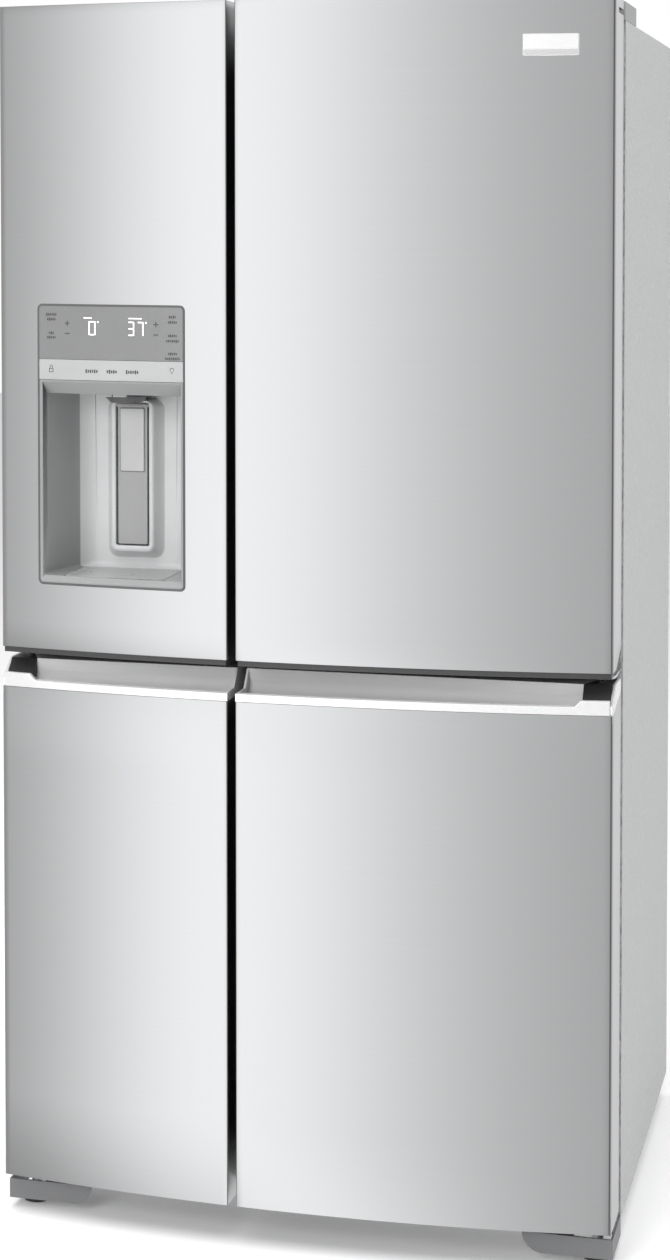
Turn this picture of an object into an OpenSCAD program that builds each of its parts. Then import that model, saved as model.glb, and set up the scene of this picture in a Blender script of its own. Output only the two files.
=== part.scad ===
// Side-by-side refrigerator with four doors: two freezer doors on the left,
// two fresh-food doors on the right, bowed steel fronts and a door dispenser.
// Millimetres. +Z is up, the doors face -Y, and the origin is on the floor
// under the middle of the cabinet's box.

/* [Overall] */
// Width over the cabinet and over both doors
overall_w = 908; // [840:1:1100]
// Height of the door tops above the floor
overall_h = 1796; // [1620:1:2160]
// Depth from the crown of the door fronts to the back
overall_d = 754; // [720:1:905]

/* [Doors] */
// How far the crown of the fronts stands ahead of their outer edges
door_bow = 33; // [20:1:45]
// Door depth at the outer edge
door_t = 83; // [70:1:100]
// Space between the door backs and the cabinet, filled by the gaskets
gasket_space = 24; // [20:1:29]
// Width of the two freezer doors
freezer_door_w = 357; // [340:1:430]
// Gap between the left and the right doors
door_gap_x = 12; // [10:1:16]
// Gap between the upper and the lower doors
door_gap_z = 13; // [12:1:18]
// Height of the lower doors
lower_door_h = 773; // [650:1:935]
// Door bottoms above the floor
door_floor_gap = 58; // [56:1:70]
// Steel sheet of the door skins
skin_t = 1; // [0.8:0.1:1.5]
// Height of the plastic caps that close the skins
cap_h = 25; // [24:1:30]
// How far the cap of an upper door shows below its steel
cap_drop = 8; // [4:1:12]
// Plastic thickness of the liners
liner_t = 2.5; // [2:0.1:3]
// Depth of the raised ring on an upper door's inner panel
dyke_h = 50; // [40:1:60]
// Width of that ring
dyke_w = 10; // [8:1:14]
// Free space between the ring and the cabinet opening
dyke_clear = 20; // [18:1:24]

/* [Hinges] */
// Hinge axis in from the side of the doors
hinge_in = 24; // [22:1:26]
// Hinge axis behind the outer edge of the fronts
hinge_back = 60; // [55:1:66]
// Radius of the hinge pins
pin_r = 5; // [4:0.5:6]
// Radial play of a pin in its bore
pin_play = 0.05; // [0.02:0.01:0.1]
// Thickness of the hinge plates
plate_t = 4; // [3:0.5:5]
// Length of a pin inside a door
pin_l = 18; // [14:1:20]

/* [Handle pockets] */
// Drop from the top of a lower door to its steel front
post_rise = 38; // [32:1:46]
// Height of the bright lip
lip_h = 12; // [10:1:16]
// Thickness of the bright lip
lip_t = 7; // [5:1:8]
// How far the end post leans back
post_lean = 33; // [28:1:36]
// Thickness of the end post
post_t = 5; // [4:1:7]
// Width of the hinge block beside the pocket
block_w = 40; // [38:1:44]
// Depth of the pocket floor below the door top
pocket_drop = 41; // [40:1:52]
// Radius of the pocket's rear bottom corner
pocket_r = 24; // [16:1:28]

/* [Cabinet] */
// Bottom of the cabinet above the floor
cabinet_foot = 38; // [36:1:42]
// Cabinet top below the door tops
top_drop = 29; // [27:1:34]
// Steel sheet of the cabinet
shell_t = 1; // [0.8:0.1:1.5]
// Side wall with its insulation
wall_t = 51; // [45:1:56]
// Rear wall with its insulation
rear_wall_t = 60; // [54:1:66]
// Walls between the compartments
divider_t = 60; // [56:1:66]
// Depth of the machine compartment
machine_d = 196; // [190:1:210]
// Height of the machine compartment above the cabinet bottom
machine_h = 214; // [210:1:220]

/* [Dispenser] */
// Width of the dispenser opening in the door
dispenser_w = 233; // [220:1:240]
// Height of that opening
dispenser_h = 413; // [405:1:430]
// Distance from the hinge side of the door
dispenser_in = 61; // [58:1:70]
// Distance above the bottom of the door
dispenser_up = 104; // [98:1:150]
// Width of the dark frame around it
frame_w = 3; // [2:0.5:5]
// Height of the lit display
display_h = 81; // [70:1:84]
// Height of the button band under the display
band_h = 30; // [26:1:34]
// Depth of the recess behind the door's crown
recess_d = 119; // [112:1:122]

/* [Inside] */
// Thickness of the glass shelves
glass_t = 4; // [3:0.5:6]
// Wall of the bins and drawers
bin_t = 3; // [2.5:0.5:4]
// Free travel of a drawer behind its closed door
drawer_travel = 90; // [60:1:92]
// Play between a drawer and the liner on each side
drawer_play = 8; // [6:1:12]

/* [Running gear] */
// Radius of the levelling feet
foot_r = 21; // [18:1:22]
// Radius of their screws
screw_r = 5; // [4:0.5:6]
// Radius of the rear rollers
roller_r = 17; // [14:1:17]

/* [Hidden] */
$fn = 48;
eps = 1;

// Planes along Y
half_w = overall_w / 2;
crown_y = -overall_d / 2;
edge_y = crown_y + door_bow;
door_back = edge_y + door_t;
cab_front = door_back + gasket_space;
cab_back = overall_d / 2;

// The fronts lie on one upright cylinder
bow_r = (half_w * half_w + door_bow * door_bow) / (2 * door_bow);
bow_cy = crown_y + bow_r;
function front_at(x, inset = 0) = bow_cy - sqrt(pow(bow_r - inset, 2) - x * x);

// Door outlines as [x low, x high, z low, z high]
lower_top = door_floor_gap + lower_door_h;
upper_bottom = lower_top + door_gap_z;
left_edge = -half_w + freezer_door_w;
right_edge = left_edge + door_gap_x;
freezer_door = [-half_w, left_edge, upper_bottom, overall_h];
fridge_door = [right_edge, half_w, upper_bottom, overall_h];
lower_freezer_door = [-half_w, left_edge, door_floor_gap, lower_top];
lower_fridge_door = [right_edge, half_w, door_floor_gap, lower_top];

// Cabinet and its compartments
cab_top = overall_h - top_drop;
split_x = (left_edge + right_edge) / 2;
split_z = (lower_top + upper_bottom) / 2;
floor_z = cabinet_foot + 60;
roof_z = cab_top - wall_t;
freezer_x = [-half_w + wall_t, split_x - divider_t / 2];
fridge_x = [split_x + divider_t / 2, half_w - wall_t];
lower_z = [floor_z, split_z - divider_t / 2];
upper_z = [split_z + divider_t / 2, roof_z];
liner_front = cab_front + shell_t;
liner_back = cab_back - rear_wall_t;
machine_front = cab_back - machine_d;
machine_top = cabinet_foot + machine_h;
step_y = machine_front - 42;
step_z = machine_top + 48;

// Gaskets run this far outside the compartment openings
gasket_in = 2;
gasket_out = 20;
gasket_play = 0.5;

// Hinges
hinge_x = half_w - hinge_in;
hinge_y = edge_y + hinge_back;
bore_r = pin_r + pin_play;
arm_half = 10;
arm_z = cab_top + 7;
arm_gap = 2;
centre_plate_z = split_z - plate_t / 2;
arm_sweep = 28;

// Running gear
foot_x = half_w - 28;
foot_y = edge_y + 64;
foot_h = 14;
base_z = cabinet_foot + 2;
cover_wall = 3;
arm_top = base_z + 6;
roller_x = half_w - 74;
roller_y = cab_back - 47;
axle_r = 4;

// Lower door tops
lip_z = lower_top - post_rise;
pocket_y = edge_y + 26;
pocket_z = lower_top - pocket_drop;
mould_z = pocket_z - 8;
side_rise = 17;
corner_flat = 2;
end_wall = 3;

// Dispenser
disp_x = [-half_w + dispenser_in, -half_w + dispenser_in + dispenser_w];
disp_z = [upper_bottom + dispenser_up, upper_bottom + dispenser_up + dispenser_h];
disp_cx = (disp_x[0] + disp_x[1]) / 2;
disp_front = front_at(disp_cx);
recess_back = disp_front + recess_d;
band_z = disp_z[1] - display_h - band_h;
recess_floor = disp_z[0] + 12;
recess_roof = band_z - 20;
recess_taper = 26;
panel_t = 6;
paddle_h = 208;
paddle_z = recess_roof - 23;
paddle_y = recess_back - 16;
paddle_w = 46;
paddle_pin_r = 3;
nozzle_y = disp_front + 73;
tray_y = [disp_front + 12, recess_back - 10];
tray_half = 78;

// Inside
shelf_front = -120;
shelf_play = 4;
evap_y = liner_back - 73;
fan_z = upper_z[0] + 440;
fan_r = 52;
fan_play = 6;
shaft_r = 4;
wire = 4;
drawer_front = drawer_travel - 230;
low_drawer_z = floor_z + 12;
low_drawer_h = step_z - low_drawer_z - 12;
mid_drawer_z = step_z + 12;
mid_drawer_h = 180;
machine_mid_y = (machine_front + cab_back) / 2;
machine_mid_z = (cabinet_foot + machine_top) / 2 + 4;
cond_fan_x = -70;
cond_fan_r = 66;

// ---------- Helpers ----------

// Repeats its children on the right, and mirrored on the left
module both_sides() {
    children();
    mirror([1, 0, 0]) children();
}

// Children drawn for the right side, mirrored when the side is -1
module on_side(side) {
    if (side > 0) children();
    else mirror([1, 0, 0]) children();
}

// A box from its low corner to its high corner
module block(lo, hi) {
    translate(lo) cube([hi[0] - lo[0], hi[1] - lo[1], hi[2] - lo[2]]);
}

// A Y-Z outline carried along X
module along_x(x0, x1) {
    translate([x0, 0, 0]) rotate([90, 0, 90]) linear_extrude(x1 - x0) children();
}

// An X-Z outline carried along Y
module along_y(y0, y1) {
    translate([0, y1, 0]) rotate([90, 0, 0]) linear_extrude(y1 - y0) children();
}

// A round bar along X
module bar_x(x0, x1, y, z, r) {
    translate([x0, y, z]) rotate([0, 90, 0]) cylinder(r = r, h = x1 - x0);
}

// A round bar along Y
module bar_y(y0, y1, x, z, r) {
    translate([x, y1, z]) rotate([90, 0, 0]) cylinder(r = r, h = y1 - y0);
}

// Everything behind the bowed front, set back by an inset
module behind_bow(z0, z1, inset = 0) {
    translate([0, bow_cy, z0]) cylinder(r = bow_r - inset, h = z1 - z0, $fn = 720);
}

// The body of a door behind its bowed front
module door_body(door, z0, z1, inset = 0, back = door_back) {
    intersection() {
        block([door[0] + inset, crown_y - eps, z0], [door[1] - inset, back, z1]);
        behind_bow(z0 - eps, z1 + eps, inset);
    }
}

// A front-open compartment outline with a step over the machine space
module lower_outline(grow = 0) {
    polygon([
        [liner_front, lower_z[0] - grow], [step_y + grow, lower_z[0] - grow],
        [step_y + grow, step_z - grow], [liner_back + grow, step_z - grow],
        [liner_back + grow, lower_z[1] + grow], [liner_front, lower_z[1] + grow]
    ]);
}

module upper_outline(grow = 0) {
    polygon([
        [liner_front, upper_z[0] - grow], [liner_back + grow, upper_z[0] - grow],
        [liner_back + grow, upper_z[1] + grow], [liner_front, upper_z[1] + grow]
    ]);
}

// The outer bodies of the two liners of one column
module column(x, grow = 0) {
    along_x(x[0] - grow, x[1] + grow) lower_outline(grow);
    along_x(x[0] - grow, x[1] + grow) upper_outline(grow);
}

module liner(x) {
    difference() {
        column(x);
        column(x, -liner_t);
        block([x[0] + liner_t, cab_front, lower_z[0] + liner_t],
              [x[1] - liner_t, liner_front + liner_t, lower_z[1] - liner_t]);
        block([x[0] + liner_t, cab_front, upper_z[0] + liner_t],
              [x[1] - liner_t, liner_front + liner_t, upper_z[1] - liner_t]);
    }
}

// ---------- Cabinet ----------

module cabinet_shell() {
    color("lightgray") difference() {
        block([-half_w, cab_front, cabinet_foot], [half_w, cab_back, cab_top]);
        block([-half_w + shell_t, liner_front, cabinet_foot - eps],
              [half_w - shell_t, cab_back + eps, cab_top - shell_t]);
        block([freezer_x[0], cab_front - eps, lower_z[0]],
              [fridge_x[1], liner_front + eps, upper_z[1]]);
        both_sides() block([foot_x - 26, cab_front - eps, cabinet_foot - eps],
                           [half_w - cover_wall, liner_front + eps, arm_top]);
    }
}

module mullion_covers() {
    color("dimgray") along_y(cab_front, liner_front) difference() {
        translate([freezer_x[0], lower_z[0]])
            square([fridge_x[1] - freezer_x[0], upper_z[1] - lower_z[0]]);
        for (x = [freezer_x, fridge_x], z = [lower_z, upper_z])
            translate([x[0], z[0]]) square([x[1] - x[0], z[1] - z[0]]);
    }
}

module cabinet_foam() {
    color("khaki") difference() {
        block([-half_w + shell_t, liner_front, base_z],
              [half_w - shell_t, cab_back - 3, cab_top - shell_t]);
        column(freezer_x);
        column(fridge_x);
        block([-half_w, machine_front, cabinet_foot], [half_w, cab_back, machine_top]);
    }
}

module freezer_liner() {
    color("white") liner(freezer_x);
}

module fridge_liner() {
    color("white") liner(fridge_x);
}

module rear_panel() {
    rib_w = 30;
    rib_pitch = (overall_w - 2 * shell_t) / 7;
    color("silver") union() {
        block([-half_w + shell_t, cab_back - 3, machine_top],
              [half_w - shell_t, cab_back - 2, cab_top - shell_t]);
        for (i = [1:6])
            block([-half_w + shell_t + i * rib_pitch - rib_w / 2, cab_back - 2, machine_top + 60],
                  [-half_w + shell_t + i * rib_pitch + rib_w / 2, cab_back, cab_top - 60]);
    }
}

module base_frame() {
    color("gray") difference() {
        union() {
            block([-half_w + shell_t, liner_front, cabinet_foot],
                  [half_w - shell_t, cab_back, base_z]);
            both_sides() {
                block([foot_x - 26, foot_y - 16, base_z], [half_w - cover_wall, liner_front, arm_top]);
                translate([foot_x, foot_y, foot_h + 8])
                    cylinder(r = screw_r + 4, h = base_z - foot_h - 8 + eps);
                block([foot_x - 26, cab_front - 20, cabinet_foot], [half_w - cover_wall, liner_front, base_z]);
                for (x = [roller_x - 16, roller_x + 12])
                    block([x, roller_y - 14, roller_r - 8], [x + 4, roller_y + 14, cabinet_foot]);
            }
        }
        both_sides() {
            translate([foot_x, foot_y, 0]) cylinder(r = screw_r + pin_play, h = arm_top - 1);
            bar_x(roller_x - 20, roller_x + 20, roller_y, roller_r, axle_r + pin_play);
        }
    }
}

// A flat hinge arm with a round nose on the axis
module hinge_arm(z, half, rear_y) {
    translate([hinge_x, hinge_y, z]) cylinder(r = half, h = plate_t);
    block([hinge_x - half, hinge_y, z], [hinge_x + half, rear_y, z + plate_t]);
}

module hinge_plates() {
    color("lightsteelblue") both_sides() {
        // top hinge, on the cabinet roof
        hinge_arm(arm_z, arm_half, cab_front + 105);
        block([hinge_x - 30, cab_front + 10, cab_top], [hinge_x + 18, cab_front + 105, arm_z]);
        translate([hinge_x, hinge_y, arm_z - arm_gap - pin_l - 4])
            cylinder(r = pin_r, h = arm_gap + pin_l + 4 + eps);
        for (y = [cab_front + 30, cab_front + 80])
            translate([hinge_x - 20, y, arm_z - eps]) cylinder(r = 6, h = 5, $fn = 6);
        // centre hinge, between the upper and the lower door
        hinge_arm(centre_plate_z, 20, cab_front);
        block([hinge_x - 4, cab_front - 3, split_z - 24], [half_w - 2, cab_front, split_z + 24]);
        translate([hinge_x, hinge_y, lower_top - pin_l])
            cylinder(r = pin_r, h = door_gap_z + 2 * pin_l);
        // bottom hinge, on the leg arm
        block([foot_x - 26, foot_y - 16, arm_top], [half_w - cover_wall, cab_front, arm_top + plate_t + 2]);
        translate([hinge_x, hinge_y, arm_top])
            cylinder(r = pin_r, h = door_floor_gap - arm_top + pin_l);
    }
}

module hinge_covers() {
    cover_w = 100;
    cover_l = 129;
    y0 = cab_front - 4;
    color("gray") both_sides() difference() {
        block([half_w - cover_w, y0, cab_top], [half_w, y0 + cover_l, overall_h - 2]);
        block([half_w - cover_w + cover_wall, y0 + cover_wall, cab_top - eps],
              [half_w - cover_wall, y0 + cover_l - cover_wall, overall_h - 2 - cover_wall]);
        block([hinge_x - arm_half - 3, y0 - eps, cab_top - eps],
              [hinge_x + arm_half + 3, y0 + cover_wall + eps, arm_z + plate_t + 3]);
    }
}

module leg_covers() {
    cover_w = 130;
    front = edge_y + 19;
    low = 15;
    high = arm_top - 2;
    bend = high - low;
    color("dimgray") both_sides() {
        along_y(front, front + cover_wall) difference() {
            translate([half_w - cover_w, low]) square([cover_w, high - low]);
            difference() {
                translate([half_w - cover_w - eps, low - eps]) square([bend + eps, bend + eps]);
                translate([half_w - cover_w + bend, high]) circle(r = bend);
            }
        }
        block([half_w - cover_wall, front + cover_wall, low], [half_w, cab_front, high]);
        block([half_w - cover_w + bend, front + cover_wall, high - cover_wall],
              [foot_x - 28, cab_front - 20, high]);
    }
}

// ---------- Inside the cabinet ----------

fridge_in = [fridge_x[0] + liner_t, fridge_x[1] - liner_t];
freezer_in = [freezer_x[0] + liner_t, freezer_x[1] - liner_t];
upper_shelves = [for (i = [1:3]) upper_z[0] + i * (upper_z[1] - upper_z[0]) / 4];
crisper_cover_z = mid_drawer_z + mid_drawer_h + 16;
lower_shelves = [crisper_cover_z, (crisper_cover_z + lower_z[1]) / 2];
shelf_back = liner_back - liner_t - 30;

module glass_shelves() {
    color("aliceblue", 0.5) for (z = concat(upper_shelves, lower_shelves))
        block([fridge_in[0] + shelf_play, shelf_front, z],
              [fridge_in[1] - shelf_play, shelf_back, z + glass_t]);
}

module shelf_frames() {
    color("white") for (z = concat(upper_shelves, lower_shelves)) {
        block([fridge_in[0] + shelf_play, shelf_front - 8, z - 6],
              [fridge_in[1] - shelf_play, shelf_front, z + glass_t + 3]);
        block([fridge_in[0], shelf_front, z - 8], [fridge_in[0] + 14, shelf_back, z]);
        block([fridge_in[1] - 14, shelf_front, z - 8], [fridge_in[1], shelf_back, z]);
    }
}

module freezer_shelves() {
    count = 11;
    back = evap_y - 8;
    pitch = (freezer_in[1] - freezer_in[0]) / (count + 1);
    color("white") for (z = upper_shelves) {
        for (y = [shelf_front, (shelf_front + back - wire) / 2, back - wire])
            block([freezer_in[0], y, z - wire], [freezer_in[1], y + wire, z]);
        for (i = [1:count])
            block([freezer_in[0] + i * pitch - wire / 2, shelf_front, z],
                  [freezer_in[0] + i * pitch + wire / 2, back, z + wire]);
    }
}

// Bearing ledges under the rims of the drawers
module drawer_runners() {
    ledge = drawer_play - 1.5;
    color("gainsboro") for (x = [freezer_in, fridge_in], s = [0, 1]) {
        side = s == 0 ? x[0] : x[1] - ledge;
        block([side, drawer_front, low_drawer_z + low_drawer_h - 18],
              [side + ledge, step_y - 10, low_drawer_z + low_drawer_h - 10]);
        block([side, drawer_front, mid_drawer_z + mid_drawer_h - 18],
              [side + ledge, liner_back - 30, mid_drawer_z + mid_drawer_h - 10]);
    }
}

module air_duct() {
    mid = (fridge_in[0] + fridge_in[1]) / 2;
    color("whitesmoke") difference() {
        block([mid - 70, liner_back - liner_t - 16, upper_z[0] + 60],
              [mid + 70, liner_back - liner_t, upper_z[1] - 40]);
        for (i = [0:5], s = [-1, 1])
            block([mid + s * 35 - 22, liner_back - liner_t - 17, upper_z[0] + 140 + i * 105],
                  [mid + s * 35 + 22, liner_back - liner_t - 6, upper_z[0] + 148 + i * 105]);
    }
}

module evaporator_cover() {
    mid = (freezer_in[0] + freezer_in[1]) / 2;
    color("whitesmoke") along_y(evap_y, evap_y + 3) difference() {
        translate([freezer_in[0], upper_z[0] + liner_t])
            square([freezer_in[1] - freezer_in[0], upper_z[1] - upper_z[0] - 2 * liner_t]);
        difference() {
            translate([mid, fan_z]) circle(r = fan_r + fan_play);
            translate([mid, fan_z]) circle(r = 20);
            translate([mid - 3, fan_z - fan_r - 10]) square([6, 2 * fan_r + 20]);
            translate([mid - fan_r - 10, fan_z - 3]) square([2 * fan_r + 20, 6]);
        }
        for (i = [0:8])
            translate([freezer_in[0] + 30 + i * 25, upper_z[0] + 16]) square([12, 40]);
    }
}

module evaporator() {
    y0 = evap_y + 16;
    y1 = liner_back - liner_t - 8;
    z0 = upper_z[0] + 50;
    z1 = z0 + 250;
    fins = 17;
    pitch = (freezer_in[1] - freezer_in[0] - 50) / (fins - 1);
    color("silver") union() {
        for (i = [0:fins - 1])
            block([freezer_in[0] + 24 + i * pitch, y0, z0], [freezer_in[0] + 25 + i * pitch, y1, z1]);
        for (y = [y0 + 12, y1 - 12], i = [0:4])
            bar_x(freezer_in[0] + 16, freezer_in[1] - 16, y, z0 + 25 + i * 50, 4);
    }
}

// A motor with its shaft, along +X from the origin
module motor(body_r, body_l, shaft_l) {
    rotate([0, 90, 0]) cylinder(r = body_r, h = body_l);
    rotate([0, 90, 0]) cylinder(r = shaft_r, h = body_l + shaft_l);
}

module fan_motors() {
    color("dimgray") {
        translate([(freezer_in[0] + freezer_in[1]) / 2, liner_back - liner_t, fan_z])
            rotate([0, 0, -90]) motor(22, 30, 20);
        translate([cond_fan_x - 50, machine_mid_y, machine_mid_z]) motor(24, 30, 24);
        block([cond_fan_x - 48, machine_mid_y - 10, base_z],
              [cond_fan_x - 40, machine_mid_y + 10, machine_mid_z]);
    }
}

// A fan along +X with its hub centred on the origin
module fan(r, hub_w) {
    difference() {
        union() {
            rotate([0, 90, 0]) translate([0, 0, -hub_w / 2]) cylinder(r = r / 3.4, h = hub_w);
            for (a = [0:72:288])
                rotate([a, 0, 0]) rotate([0, 0, 32])
                    block([-1, -r * 0.24, r / 4.5], [1, r * 0.24, r * 0.95]);
        }
        rotate([0, 90, 0]) translate([0, 0, -hub_w]) cylinder(r = shaft_r + pin_play, h = 2 * hub_w);
    }
}

module evaporator_fan() {
    color("darkgray") translate([(freezer_in[0] + freezer_in[1]) / 2, liner_back - liner_t - 42, fan_z])
        rotate([0, 0, -90]) fan(fan_r, 14);
}

module condenser_fan() {
    color("darkgray") translate([cond_fan_x - 6, machine_mid_y, machine_mid_z]) fan(cond_fan_r, 16);
}

module compressor() {
    r = 68;
    x = half_w - 200;
    color("black") translate([x, machine_mid_y, base_z]) {
        rotate_extrude($fn = 64) polygon([
            [0, 14], [52, 14], [r, 34], [r, 110], [58, 138], [30, 152], [0, 155]
        ]);
        block([-80, -60, 6], [80, 60, 14.5]);
        for (sx = [-1, 1], sy = [-1, 1])
            translate([sx * 66, sy * 46, 0]) cylinder(r = 12, h = 6.5);
        bar_x(r - 8, r + 34, 0, 60, 5);
    }
}

module condenser() {
    x0 = -half_w + 50;
    x1 = cond_fan_x - 110;
    y0 = machine_front + 30;
    y1 = cab_back - 62;
    color("dimgray") {
        for (x = [x0, x1 - 2]) block([x, y0 - 10, base_z], [x + 2, y1 + 10, machine_top - 30]);
        for (i = [0:4], j = [0:3])
            bar_x(x0 - 8, x1 + 8, y0 + i * (y1 - y0) / 4, base_z + 30 + j * 38, 3.5);
    }
}

inlet_x = half_w - 60;
inlet_z = base_z + 60;

module machine_cover() {
    slot_n = 16;
    pitch = 36;
    color("darkslategray") along_y(cab_back - 3, cab_back - 1) difference() {
        translate([-half_w + shell_t, base_z]) square([2 * (half_w - shell_t), machine_top - base_z]);
        for (i = [0:slot_n - 1], z = [base_z + 40, base_z + 110])
            translate([(i - (slot_n - 1) / 2) * pitch - 12, z]) square([24, 50]);
        translate([inlet_x, inlet_z]) circle(r = 13);
        translate([-inlet_x - 17, inlet_z - 13]) square([34, 26]);
    }
}

module water_valve() {
    color("white") difference() {
        union() {
            block([inlet_x - 20, cab_back - 70, inlet_z - 16], [inlet_x + 20, cab_back - 38, inlet_z + 16]);
            bar_y(cab_back - 38, cab_back, inlet_x, inlet_z, 11);
            block([inlet_x - 8, cab_back - 66, base_z], [inlet_x + 8, cab_back - 44, inlet_z]);
            translate([inlet_x, cab_back - 54, inlet_z + 15]) cylinder(r = 13, h = 30);
        }
        bar_y(cab_back - 14, cab_back + eps, inlet_x, inlet_z, 3.2);
    }
}

module power_inlet() {
    color("black") difference() {
        union() {
            block([-inlet_x - 16, cab_back - 40, inlet_z - 12], [-inlet_x + 16, cab_back, inlet_z + 12]);
            block([-inlet_x - 24, cab_back - 7, inlet_z - 20], [-inlet_x + 24, cab_back - 3, inlet_z + 20]);
            block([-inlet_x - 10, cab_back - 34, base_z], [-inlet_x + 10, cab_back - 24, inlet_z]);
        }
        block([-inlet_x - 12, cab_back - 18, inlet_z - 8], [-inlet_x + 12, cab_back + eps, inlet_z + 8]);
    }
}

module ceiling_lights() {
    color("ivory") for (x = [freezer_in, fridge_in]) {
        mid = (x[0] + x[1]) / 2;
        block([mid - 60, cab_front + 40, upper_z[1] - liner_t - 6],
              [mid + 60, cab_front + 110, upper_z[1] - liner_t]);
    }
}

ice_z = upper_z[1] - liner_t - 40;
ice_x = [freezer_in[0] + 20, freezer_in[1] - 20];

module ice_maker() {
    cells = 7;
    pitch = (ice_x[1] - ice_x[0] - 16) / cells;
    color("gainsboro") difference() {
        union() {
            block([ice_x[0], 0, ice_z - 30], [ice_x[1], 110, ice_z]);
            block([ice_x[0], 20, ice_z], [ice_x[0] + 30, 90, upper_z[1] - liner_t]);
            block([ice_x[1] - 30, 20, ice_z], [ice_x[1], 90, upper_z[1] - liner_t]);
        }
        for (i = [0:cells - 1])
            translate([ice_x[0] + 8 + (i + 0.5) * pitch, 12, ice_z + 6]) rotate([-90, 0, 0])
                cylinder(r = pitch / 2 - 2, h = 86);
    }
}

module ice_bin() {
    z0 = upper_shelves[2] + wire;
    z1 = ice_z - 36;
    y1 = evap_y - 14;
    color("whitesmoke") difference() {
        block([ice_x[0], shelf_front + 6, z0], [ice_x[1], y1, z1]);
        block([ice_x[0] + bin_t, shelf_front + 6 + bin_t, z0 + bin_t], [ice_x[1] - bin_t, y1 - bin_t, z1 + eps]);
        translate([(ice_x[0] + ice_x[1]) / 2, shelf_front, z0 + 40]) rotate([-90, 0, 0])
            cylinder(r = 28, h = 12);
    }
}

// An open drawer with a rim and a grip in its front
module drawer(x, z0, h, back) {
    x0 = x[0] + drawer_play;
    x1 = x[1] - drawer_play;
    rim = 5;
    difference() {
        union() {
            block([x0, drawer_front, z0], [x1, back, z0 + h]);
            block([x0 - rim, drawer_front + 20, z0 + h - 9], [x1 + rim, back, z0 + h]);
        }
        block([x0 + bin_t, drawer_front + 6, z0 + bin_t], [x1 - bin_t, back - bin_t, z0 + h + eps]);
        block([(x0 + x1) / 2 - 70, drawer_front - eps, z0 + h - 34],
              [(x0 + x1) / 2 + 70, drawer_front + 3, z0 + h - 12]);
    }
}

module upper_crisper() {
    color("azure", 0.7) drawer(fridge_in, mid_drawer_z, mid_drawer_h, liner_back - 30);
}

module lower_crisper() {
    color("azure", 0.7) drawer(fridge_in, low_drawer_z, low_drawer_h, step_y - 10);
}

module upper_basket() {
    color("white") drawer(freezer_in, mid_drawer_z, mid_drawer_h, liner_back - 30);
}

module lower_basket() {
    color("white") drawer(freezer_in, low_drawer_z, low_drawer_h, step_y - 10);
}

// ---------- Running gear ----------

module foot() {
    color("black") translate([foot_x, foot_y, 0]) {
        cylinder(r = foot_r, h = foot_h);
        translate([0, 0, foot_h - eps]) cylinder(r = screw_r, h = arm_top - foot_h - 2);
    }
}

module left_foot() {
    mirror([1, 0, 0]) foot();
}

module right_foot() {
    foot();
}

module rear_rollers() {
    color("black") {
        bar_x(-roller_x - 18, roller_x + 18, roller_y, roller_r, axle_r);
        both_sides() bar_x(roller_x - 10, roller_x + 10, roller_y, roller_r, roller_r);
    }
}

// ---------- Doors ----------

// The corner that swings round the top hinge arm, for the right-hand side
module arm_slot() {
    block([hinge_x - arm_half - 2, hinge_y - arm_sweep, arm_z - arm_gap],
          [half_w + eps, door_back + eps, arm_z + plate_t + arm_gap]);
}

module pin_bore(z0, z1) {
    translate([hinge_x, hinge_y, z0]) cylinder(r = bore_r, h = z1 - z0);
}

// The black corner that shows under the side of an upper door
corner_rise = 24;
corner_run = 50;
// The cap under an upper door stands back this far from its steel
cap_inset = 3;

module upper_skin(door, side) {
    steel_low = door[2] + cap_drop;
    difference() {
        door_body(door, steel_low, door[3]);
        door_body(door, steel_low - eps, door[3] + eps, skin_t, door_back + eps);
        on_side(side) {
            arm_slot();
            along_x(half_w - skin_t - eps, half_w + eps) polygon([
                [door_back + eps, steel_low - eps], [door_back + eps, steel_low + corner_rise],
                [door_back, steel_low + corner_rise], [door_back - corner_run, steel_low],
                [door_back - corner_run, steel_low - eps]
            ]);
        }
    }
}

module upper_caps(door, side) {
    cap_low = arm_z - arm_gap - pin_l - 8;
    difference() {
        union() {
            door_body(door, door[3] - cap_h, door[3], skin_t);
            door_body(door, door[2] + cap_drop, door[2] + cap_drop + cap_h, skin_t);
            door_body(door, door[2], door[2] + cap_drop + eps, cap_inset);
            on_side(side) block([hinge_x - 16, hinge_y - 16, cap_low],
                                [half_w - skin_t, door_back, door[3] - cap_h + eps]);
        }
        on_side(side) {
            arm_slot();
            pin_bore(cap_low + 2, door[3] - 4);
            pin_bore(door[2] - eps, door[2] + pin_l + 2);
        }
    }
}

// The rectangle ring between two growths of a compartment opening
module opening_ring(x, z, outer, inner) {
    difference() {
        translate([x[0] - outer, z[0] - outer])
            square([x[1] - x[0] + 2 * outer, z[1] - z[0] + 2 * outer]);
        translate([x[0] - inner, z[0] - inner])
            square([x[1] - x[0] + 2 * inner, z[1] - z[0] + 2 * inner]);
    }
}

module door_gasket(x, z) {
    color("darkgray") along_y(door_back + liner_t, cab_front - gasket_play)
        opening_ring(x, z, gasket_out, gasket_in);
}

// The ring that holds the bins and the cover behind the dispenser are clipped on with this play
clip_play = 0.1;

// The inner panel of a door with its raised ring
module door_panel(door, x, z, ring_h, play = -eps) {
    ring_y = door_back + liner_t;
    block([door[0] + 4, door_back, door[2] + 2], [door[1] - 4, ring_y, door[3] - 31]);
    along_y(ring_y + play, ring_y + ring_h)
        opening_ring(x, z, -liner_t - dyke_clear, -liner_t - dyke_clear - dyke_w);
}

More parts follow.
